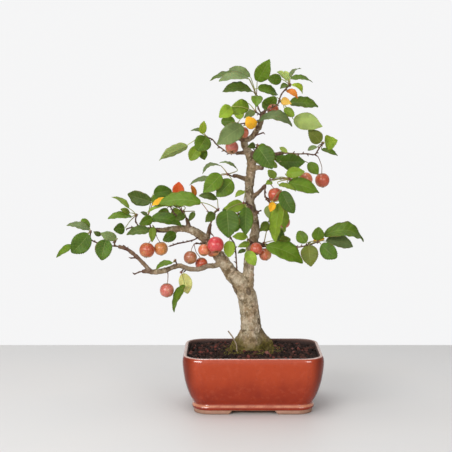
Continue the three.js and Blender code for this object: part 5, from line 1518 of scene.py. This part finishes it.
@finish("leaf_blade", subsurface_weight=0.1, subsurface_scale=0.001, specular_ior_level=0.2)
def blade_finish(bench, place, looks):
    """Leaf blade: green or autumn coloured, with a pale rib and side veins, paler beneath."""
    tint, seed = bench.read("tint", "Color"), bench.read("seed")
    t, s, top = bench.parts(bench.read("blade", "Vector"))
    away, above = abs(s), bench.band(top, 0.3, 0.7)
    veins = bench.maths("FRACT", looks.vein_pairs * t - 1.5 * away + 0.5)
    veins = bench.band(abs(veins - 0.5), 0.02, 0.1, 1, 0) * bench.band(away, 0.75, 1.0, 1, 0.15)
    veins = veins * bench.band(t, 0.03, 0.1) * bench.band(t, 0.86, 0.97, 1, 0)
    rib = bench.band(away, 0.008, 0.045, 1, 0)
    net = bench.band(bench.cells(place, 1.3, "DISTANCE_TO_EDGE"), 0.02, 0.12, 1, 0)
    broad, fine = bench.cloud(place, 13, 3, 0.55), bench.cloud(place, 1.6, 3, 0.6)
    red, green, _ = bench.parts(tint)
    autumn = bench.band(red - green, 0.02, 0.14)
    warm = bench.mixed(0.5, tint, (236, 158, 64), "MULTIPLY")
    deeper = bench.mixed(autumn, bench.mixed(0.6, tint, (34, 62, 20), "MULTIPLY"), warm)
    mottled = bench.band(broad + 0.35 * (seed - 0.5), 0.34, 0.66) * 0.6
    body = bench.coats(tint, (mottled, deeper), (bench.band(fine, 0.45, 0.8) * 0.16, (40, 56, 22)))
    flush = bench.mixed(0.5, body, (214, 214, 120))
    body = bench.coats(body, (veins * 0.13 * (1 - 0.6 * autumn), flush), (net * 0.07, flush))
    body = bench.mixed(rib * 0.26, body, bench.mixed(0.55, body, (206, 208, 140)))
    blotch = bench.band(bench.cloud(place, 5, 4, 0.65), 0.48, 0.62) * autumn
    fleck = bench.band(bench.cells(place, 2.3), 0.12, 0.24, 1, 0) * bench.band(fine, 0.42, 0.6) * autumn
    green_left = bench.band(rib + veins + 0.8 * broad, 0.75, 1.25) * autumn * bench.band(seed, 0.3, 0.7)
    speck = bench.band(bench.cells(place, 5.2), 0.05, 0.14, 1, 0) * bench.band(broad, 0.46, 0.6)
    edge = bench.band(away + 0.2 * (fine - 0.5), 0.88, 1.0) * bench.band(broad, 0.45, 0.6)
    body = bench.coats(
        body,
        (blotch * 0.5, warm),
        (fleck * 0.6, (120, 56, 24)),
        (green_left * 0.3, (134, 142, 42)),
        (speck * (0.25 + 0.6 * autumn), (112, 66, 30)),
        (edge * 0.6, (134, 100, 44)),
    )
    body = bench.mixed(1 - above, body, bench.mixed(0.36, body, (166, 182, 126)))
    rough = looks.leaf_gloss + 0.16 * fine + 0.24 * (1 - above) + 0.1 * autumn
    raised = 0.35 * veins + 0.3 * rib + 0.08 * net
    relief = 0.5 + 0.25 * fine - raised * (2 * bench.band(top, 0.4, 0.6) - 1)
    return body, rough, bench.bumped(relief, 0.55, 0.35)


@finish("leaf_stalk")
def petiole_finish(bench, place, looks):
    along = bench.parts(bench.read("blade", "Vector"))[0]
    fine, broad = bench.cloud(place, 0.6, 3), bench.cloud(place, 6, 2)
    body = bench.coats(
        bench.read("tint", "Color"),
        (0.5, (176, 172, 104)),
        (bench.band(broad - 0.5 * along, 0.1, 0.6) * 0.55, (150, 80, 66)),
        (bench.band(fine, 0.5, 0.8) * 0.3, (92, 74, 44)),
    )
    return body, 0.5 + 0.2 * fine, bench.bumped(fine, 0.4, 0.12)


@finish("bud_scale")
def bud_finish(bench, place, looks):
    height = bench.parts(bench.read("blade", "Vector"))[0]
    fine, seed = bench.cloud(place, 0.7, 3), bench.read("seed")
    body = bench.coats(
        bench.mixed(bench.band(height, 2.4, 5.0), (88, 58, 46), looks.bud),
        (bench.band(fine, 0.45, 0.75) * 0.5, (70, 44, 38)),
        (bench.band(seed, 0.55, 0.9) * 0.3, (120, 116, 62)),
    )
    return body, 0.6 + 0.2 * fine, bench.bumped(fine, 0.6, 0.2)


@finish(
    "apple_skin", subsurface_weight=0.15, subsurface_scale=0.002, coat_weight=0.42, coat_roughness=0.15
)
def skin_finish(bench, place, looks):
    """Apple skin: waxy, flushed on the sunny cheek, dotted with pale pores and streaked from the stalk."""
    ground, flush = bench.read("ground", "Color"), bench.read("flush", "Color")
    cheek, rise, turn = bench.parts(bench.read("fruit", "Vector"))
    seed = bench.read("seed")
    broad, fine = bench.cloud(place, 7.5, 3, 0.5), bench.cloud(place, 1.2, 3, 0.6)
    bloom = bench.cloud(place, 4, 3, 0.6)
    rays = bench.node("ShaderNodeCombineXYZ", None, {0: turn * 9.0, 1: rise * 1.3 + seed * 20.0})
    values = {"Vector": rays, "Scale": 1.0, "Detail": 2.0}
    streak = bench.node("ShaderNodeTexNoise", {"noise_dimensions": "2D"}, values)
    blush = cheek * 0.45 + (broad - 0.5) * 1.5 + (streak - 0.5) * 0.9 + (seed - 0.5) * 0.5
    pores = bench.band(bench.cells(place, 1.9), 0.07, 0.15, 1, 0)
    uneven = 0.2 * (fine - 0.5)
    russet = bench.band(rise + uneven, 0.8, 0.95) + bench.band(rise - uneven, -0.93, -0.8, 1, 0)
    body = bench.coats(
        bench.mixed(bench.band(blush, -0.42, 0.34), ground, flush),
        (bench.band(fine, 0.5, 0.8) * 0.22, (150, 44, 34)),
        (pores * 0.55, (238, 196, 142)),
        (russet * 0.6, (140, 110, 58)),
        (bench.band(bloom, 0.4, 0.75) * 0.16, (234, 198, 164)),
    )
    rough = looks.apple_gloss + 0.16 * bloom + 0.3 * russet + 0.1 * fine
    return body, rough, bench.bumped(0.5 * fine + 0.5 * pores, 0.25, 0.12)


@finish("apple_stalk")
def stalk_finish(bench, place, looks):
    along = bench.parts(bench.read("fruit", "Vector"))[0]
    fine, broad = bench.cloud(place, 0.5, 3), bench.cloud(place, 5, 2)
    body = bench.mixed(bench.band(along + 0.5 * (broad - 0.5), 0.1, 0.9), (112, 74, 58), (140, 112, 70))
    body = bench.mixed(bench.band(fine, 0.5, 0.8) * 0.4, body, (82, 56, 42))
    return body, 0.6 + 0.2 * fine, bench.bumped(fine, 0.4, 0.1)


@finish("dry_calyx")
def calyx_finish(bench, place, looks):
    fine = bench.cloud(place, 0.5, 3)
    body = bench.mixed(bench.band(fine, 0.35, 0.7), (138, 104, 62), (92, 66, 42))
    return body, 0.75 + 0.15 * fine, bench.bumped(fine, 0.6, 0.12)


@finish("screen_plastic")
def screen_finish(bench, place, looks):
    """Dull dark plastic mesh with a woven look and a little soil dust."""
    x, y, _ = bench.parts(place)
    threads = math.tau / 0.0012
    weave = bench.maths("SINE", x * threads) * bench.maths("SINE", y * threads)
    dust = bench.cloud(place, 5, 3)
    body = bench.mixed(bench.band(dust, 0.45, 0.7) * 0.6, (38, 44, 44), (86, 72, 60))
    return body, 0.5 + 0.3 * dust, bench.bumped(0.5 + 0.5 * weave, 0.5, 0.15)


@finish("pale_floor")
def floor_finish(bench, place, looks):
    broad, fine = bench.cloud(place, 260, 3), bench.cloud(place, 3, 3)
    body = bench.mixed(bench.band(broad, 0.3, 0.7), looks.floor, (210, 208, 206))
    return body, 0.5 + 0.1 * fine, bench.bumped(fine, 0.05, 0.1)


# What a user can change


def colour_choice(name, description, red, green, blue):
    kind = {"size": 4, "subtype": "COLOR", "min": 0, "max": 1, "default": pigment(red, green, blue)}
    return bpy.props.FloatVectorProperty(name=name, description=description, **kind)


def number_choice(name, description, default, low, high, **kind):
    kind = {"default": default, "min": low, "max": high, **kind}
    return bpy.props.FloatProperty(name=name, description=description, **kind)


def length_choice(name, description, default, low, high):
    """A length, given here in millimetres."""
    values = default * MM, low * MM, high * MM
    return number_choice(name, description, *values, subtype="DISTANCE", unit="LENGTH")


class BonsaiPotLooks(bpy.types.PropertyGroup):
    glaze: colour_choice("Glaze", "Colour of the glaze where it is thin", 152, 47, 16)
    deep_glaze: colour_choice("Deep glaze", "Colour of the glaze where it pooled", 136, 39, 13)
    clay: colour_choice("Clay", "Colour of the bare clay of the feet", 180, 136, 116)
    gloss: number_choice("Glaze roughness", "How dull the glaze is", 0.16, 0.02, 1)


class BonsaiSoilLooks(bpy.types.PropertyGroup):
    grain: colour_choice("Grain", "Colour of an ordinary soil grain", 68, 42, 34)
    red_grain: colour_choice("Red grain", "Colour of the brick red grains", 112, 56, 48)
    moss: colour_choice("Moss", "Colour of the moss at the foot of the trunk", 106, 94, 34)
    grain_spacing: length_choice("Grain spacing", "Least distance between grains", 4.9, 1, 10)
    grain_size: length_choice("Grain size", "Radius of an ordinary grain", 3.9, 0.5, 5)
    moss_spacing: length_choice("Moss spacing", "Least distance between moss cushions", 1.15, 0.5, 5)
    seed: bpy.props.IntProperty(
        name="Seed", description="Changes how the grains and moss fall", default=7, min=0
    )


class BonsaiWoodLooks(bpy.types.PropertyGroup):
    bark: colour_choice("Bark", "Colour of old bark", 198, 183, 158)
    twig: colour_choice("Twig", "Colour of young twigs", 84, 54, 43)
    bud_spacing: length_choice("Bud spacing", "Distance between the little buds along a twig", 7, 1, 50)
    carving: number_choice("Carving", "Fineness of the carved wood, in millimetres", 0.85, 0.5, 3)
    relief: number_choice("Bark relief", "Height of the bark's lumps and ridges, in millimetres", 1.0, 0, 2)
    roughness: length_choice("Twig roughness", "Height of the lumps on twigs", 0.7, 0, 3)


class BonsaiLeafLooks(bpy.types.PropertyGroup):
    tooth_spacing: number_choice("Tooth spacing", "Distance between leaf teeth, in millimetres", 2.2, 1, 6)
    blade_thickness: number_choice("Blade thickness", "Thickness of a leaf, in millimetres", 0.35, 0.2, 1)
    vein_pairs: number_choice("Vein pairs", "Side veins on each half of a leaf", 8, 3, 14)
    leaf_gloss: number_choice("Leaf roughness", "How dull the leaves are", 0.4, 0.05, 1)
    bud: colour_choice("Bud", "Colour of the bud tips", 142, 78, 66)


class BonsaiAppleLooks(bpy.types.PropertyGroup):
    apple_gloss: number_choice("Apple roughness", "How dull the apple skin is", 0.26, 0.05, 1)


class BonsaiStageLooks(bpy.types.PropertyGroup):
    floor: colour_choice("Floor", "Colour of the studio floor", 208, 207, 206)
    lens: number_choice("Lens", "Focal length", 92.7, 20, 300, subtype="DISTANCE_CAMERA", unit="CAMERA")
    light: number_choice("Light", "Strength of the main light", 27, 0, 1000, subtype="POWER", unit="POWER")
    surroundings: number_choice("Surroundings", "Brightness of the white surroundings", 0.95, 0, 3)


# Operators


class BONSAI_OT_pot(bpy.types.Operator):
    """Make the glazed pot with its feet and drain holes"""

    bl_idname = "bonsai.pot"
    bl_label = "Pot"

    def execute(self, context):
        looks = context.scene.bonsai_pot
        finishes = [glaze_finish(looks), clay_finish(looks), inside_finish(looks)]
        piece = finished("pot_glazed", pot_mesh(), finishes)
        piece.data.set_sharp_from_angle(angle=math.radians(42))
        settle(piece, "pot_glaze", "pot")
        return {"FINISHED"}


class BONSAI_OT_screens(bpy.types.Operator):
    """Give the drain hole screens their plastic"""

    bl_idname = "bonsai.screens"
    bl_label = "Drain screens"

    def execute(self, context):
        plastic = screen_finish()
        for name in ("drain_screen_left", "drain_screen_right"):
            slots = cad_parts[name].material_slots
            if not slots:
                raise RuntimeError(name + " has no material slot")
            for slot in slots:
                slot.material = plastic
        return {"FINISHED"}


class BONSAI_OT_soil(bpy.types.Operator):
    """Fill the pot with soil and strew it with grains"""

    bl_idname = "bonsai.soil"
    bl_label = "Soil"

    def execute(self, context):
        looks = context.scene.bonsai_soil
        bed = finished("soil_bed", soil_bed_mesh(), [bed_finish(looks)])
        settle(bed, "soil", "soil")
        grainy = grain_finish(looks)
        sizes = {
            "Spacing": looks.grain_spacing, "Density": 400000.0, "Size": looks.grain_size, "Dents": 1.7 * MM,
            "Seed": looks.seed,
        }
        patch = soil_strip("grain_patch", 0.02, 0.97, 14, 1.1)
        mesh = grown("soil_grains", patch, grain_recipe, sizes, grainy)
        mesh.polygons.foreach_set("use_smooth", [False] * len(mesh.polygons))
        settle(finished("soil_grains", mesh, [grainy]), "soil", "soil")
        return {"FINISHED"}


class BONSAI_OT_moss(bpy.types.Operator):
    """Grow moss over the foot of the trunk and the soil round it"""

    bl_idname = "bonsai.moss"
    bl_label = "Moss"

    def execute(self, context):
        looks = context.scene.bonsai_soil
        mossy = moss_finish(looks)
        sizes = {"Spacing": looks.moss_spacing, "Density": 900000.0, "Size": 1.0 * MM, "Seed": looks.seed}
        beds = (
            ("moss_on_soil", soil_strip("moss_patch", 0.76, 1.0, 12, -0.1), 0.53, "soil"),
            ("moss_on_roots", root_strip("root_patch", TRUNK[2:5]), 0.42, "trunk_and_branches"),
        )
        for name, patch, bareness, node in beds:
            mesh = grown(name, patch, moss_recipe, {**sizes, "Bareness": bareness}, mossy)
            settle(finished(name, mesh, [mossy]), "soil", node)
        return {"FINISHED"}


class BONSAI_OT_wood(bpy.types.Operator):
    """Carve the trunk and limbs and draw the twigs"""

    bl_idname = "bonsai.wood"
    bl_label = "Wood"

    def execute(self, context):
        looks = context.scene.bonsai_wood
        bark, dry = bark_finish(looks), dry_wood_finish(looks)
        trunk = smooth_path(TRUNK, 2.0)
        stout, thin = split_wood()
        mesh = wood_shape(looks.carving, trunk, stout)
        carve_bark(mesh, trunk, stout, looks.relief)
        settle(finished("trunk_and_limbs", mesh, [bark]), "bark", "trunk_and_branches")
        lines = twig_lines("twig_lines", [knobbly(path, i) for i, path in enumerate(thin)])
        sizes = {"Sides": 10, "Bud length": 1.4}
        sizes |= {"Roughness": looks.roughness, "Bud spacing": looks.bud_spacing}
        mesh = grown("twigs", lines, twig_recipe, sizes, bark)
        settle(finished("twigs", mesh, [bark]), "bark", "trunk_and_branches")
        path = knobbly(smooth_path(DRY_TWIG, 0.8) * (1, 1, 1, 0.75), 99, fullness=0)
        few = {"Roughness": 0.5 * looks.roughness, "Bud spacing": 3 * looks.bud_spacing, "Bud length": 0.2}
        mesh = grown("dry_twig_fine", twig_lines("dry_line", [path]), twig_recipe, {**sizes, **few}, dry)
        settle(finished("dry_twig_fine", mesh, [dry]), "dry_wood", "dry_twig")
        return {"FINISHED"}


LEAF_SLOTS = dict.fromkeys(("red_orange", "orange_upright", "orange_curled"), "leaf_orange")
APPLE_SLOTS = dict.fromkeys(("amber_pair", "brown_pair", "orange_right", "orange_upper"), "apple_amber")


class BONSAI_OT_leaves(bpy.types.Operator):
    """Open the leaf sprays and the single turned leaves"""

    bl_idname = "bonsai.leaves"
    bl_label = "Leaves"

    def execute(self, context):
        looks = context.scene.bonsai_leaf
        finishes = [blade_finish(looks), petiole_finish(looks), bud_finish(looks)]
        for name, leaves in SPRAYS.items():
            piece = finished("spray_" + name, spray_mesh(name, leaves, looks), finishes)
            settle(piece, "leaf_green", "leaves_" + name)
        for name, row in TURNED.items():
            piece = finished("turned_" + name, single_leaf_mesh(name, row, looks), finishes)
            settle(piece, LEAF_SLOTS.get(name, "leaf_yellow"), "leaf_" + name)
        return {"FINISHED"}


class BONSAI_OT_apples(bpy.types.Operator):
    """Hang the apples on their stalks"""

    bl_idname = "bonsai.apples"
    bl_label = "Apples"

    def execute(self, context):
        looks = context.scene.bonsai_apple
        finishes = [skin_finish(looks), stalk_finish(looks), calyx_finish(looks)]
        for name, bunch in FRUIT.items():
            piece = finished("apples_" + name, bunch_mesh(name, bunch), finishes)
            settle(piece, APPLE_SLOTS.get(name, "apple_red"), "fruit_" + name)
        return {"FINISHED"}


def add_lamp(name, place, aim, size, power):
    """A large soft lamp at a place, turned to shine at a point, both in metres."""
    data = bpy.data.lights.new(name, "AREA")
    data.shape, data.size, data.size_y, data.energy = "RECTANGLE", *size, power
    lamp = bpy.data.objects.new(name, data)
    lamp.location = place
    lamp.rotation_euler = (Vector(aim) - Vector(place)).to_track_quat("-Z", "Y").to_euler()
    bpy.context.scene.collection.objects.link(lamp)


class BONSAI_OT_stage(bpy.types.Operator):
    """Lay the floor, hang the studio lights and set up the camera"""

    bl_idname = "bonsai.stage"
    bl_label = "Stage"

    def execute(self, context):
        scene, looks = context.scene, context.scene.bonsai_stage
        floor = bpy.data.meshes.new("floor")
        x, y = MIDDLE_X, MIDDLE_Y
        far = y + 0.416
        floor.from_pydata([(-3, -3, 0), (3, -3, 0), (3, far, 0), (-3, far, 0)], [], [(0, 1, 2, 3)])
        finished("floor", floor, [floor_finish(looks)])
        middle = (x, y, 0.2)
        add_lamp("key", (x - 1.05, y - 1.6, 0.85), middle, (1.4, 0.6), looks.light)
        add_lamp("fill", (x + 0.95, y - 1.7, 0.85), middle, (0.9, 0.5), 0.32 * looks.light)
        add_lamp("top", (x - 0.4, y - 0.1, 1.9), middle, (1.2, 0.9), 0.5 * looks.light)
        scene.world = bpy.data.worlds.new("studio")
        scene.world.use_nodes = True
        bench = Bench(scene.world.node_tree)
        sky = next(n for n in scene.world.node_tree.nodes if n.type == "BACKGROUND")
        sky.inputs["Color"].default_value = (0.965, 0.965, 0.97, 1)
        side, depth, up = bench.parts(bench.node("ShaderNodeTexCoord", None, None, "Generated"))
        glow = looks.surroundings * bench.band(depth, -0.2, 0.9, 0.5, 1.0)
        glow = glow * bench.band(up, 0.4, 1.0, 1.0, 1.2) * bench.band(abs(side), 0.24, 0.6, 1.0, 0.5)
        bench.tree.links.new(glow.socket, sky.inputs["Strength"])
        scene.view_settings.view_transform = "Standard"
        lens = bpy.data.cameras.new("camera")
        lens.lens, lens.sensor_width = looks.lens, 36
        lens.clip_start, lens.clip_end = 0.05, 30
        camera = bpy.data.objects.new("camera", lens)
        camera.location = (x - 0.037, y - 1.6, 0.405)
        camera.rotation_euler = Euler((math.radians(90 - 5.52), 0, 0))
        scene.collection.objects.link(camera)
        scene.camera = camera
        return {"FINISHED"}


LOOKS = {
    "bonsai_pot": BonsaiPotLooks, "bonsai_soil": BonsaiSoilLooks, "bonsai_wood": BonsaiWoodLooks,
    "bonsai_leaf": BonsaiLeafLooks, "bonsai_apple": BonsaiAppleLooks, "bonsai_stage": BonsaiStageLooks,
}
OPERATORS = (
    BONSAI_OT_pot, BONSAI_OT_screens, BONSAI_OT_soil, BONSAI_OT_moss, BONSAI_OT_wood, BONSAI_OT_leaves,
    BONSAI_OT_apples, BONSAI_OT_stage,
)


class BONSAI_PT_maker(bpy.types.Panel):
    """Lists what can be made and changed"""

    bl_idname = "BONSAI_PT_maker"
    bl_label = "Crabapple Bonsai"
    bl_space_type = "VIEW_3D"
    bl_region_type = "UI"
    bl_category = "Bonsai"

    def draw(self, context):
        for kind in OPERATORS:
            self.layout.operator(kind.bl_idname)
        for label, looks in LOOKS.items():
            box = self.layout.box()
            for name in looks.__annotations__:
                box.prop(getattr(context.scene, label), name)


KINDS = (*LOOKS.values(), *OPERATORS, BONSAI_PT_maker)


def register():
    for kind in KINDS:
        bpy.utils.register_class(kind)
    for label, looks in LOOKS.items():
        setattr(bpy.types.Scene, label, bpy.props.PointerProperty(type=looks))


def unregister():
    for label in LOOKS:
        delattr(bpy.types.Scene, label)
    for kind in reversed(KINDS):
        bpy.utils.unregister_class(kind)


def main():
    register()
    for step in ("pot", "screens", "soil", "moss", "wood", "leaves", "apples", "stage"):
        getattr(bpy.ops.bonsai, step)()


if __name__ == "__main__":
    main()
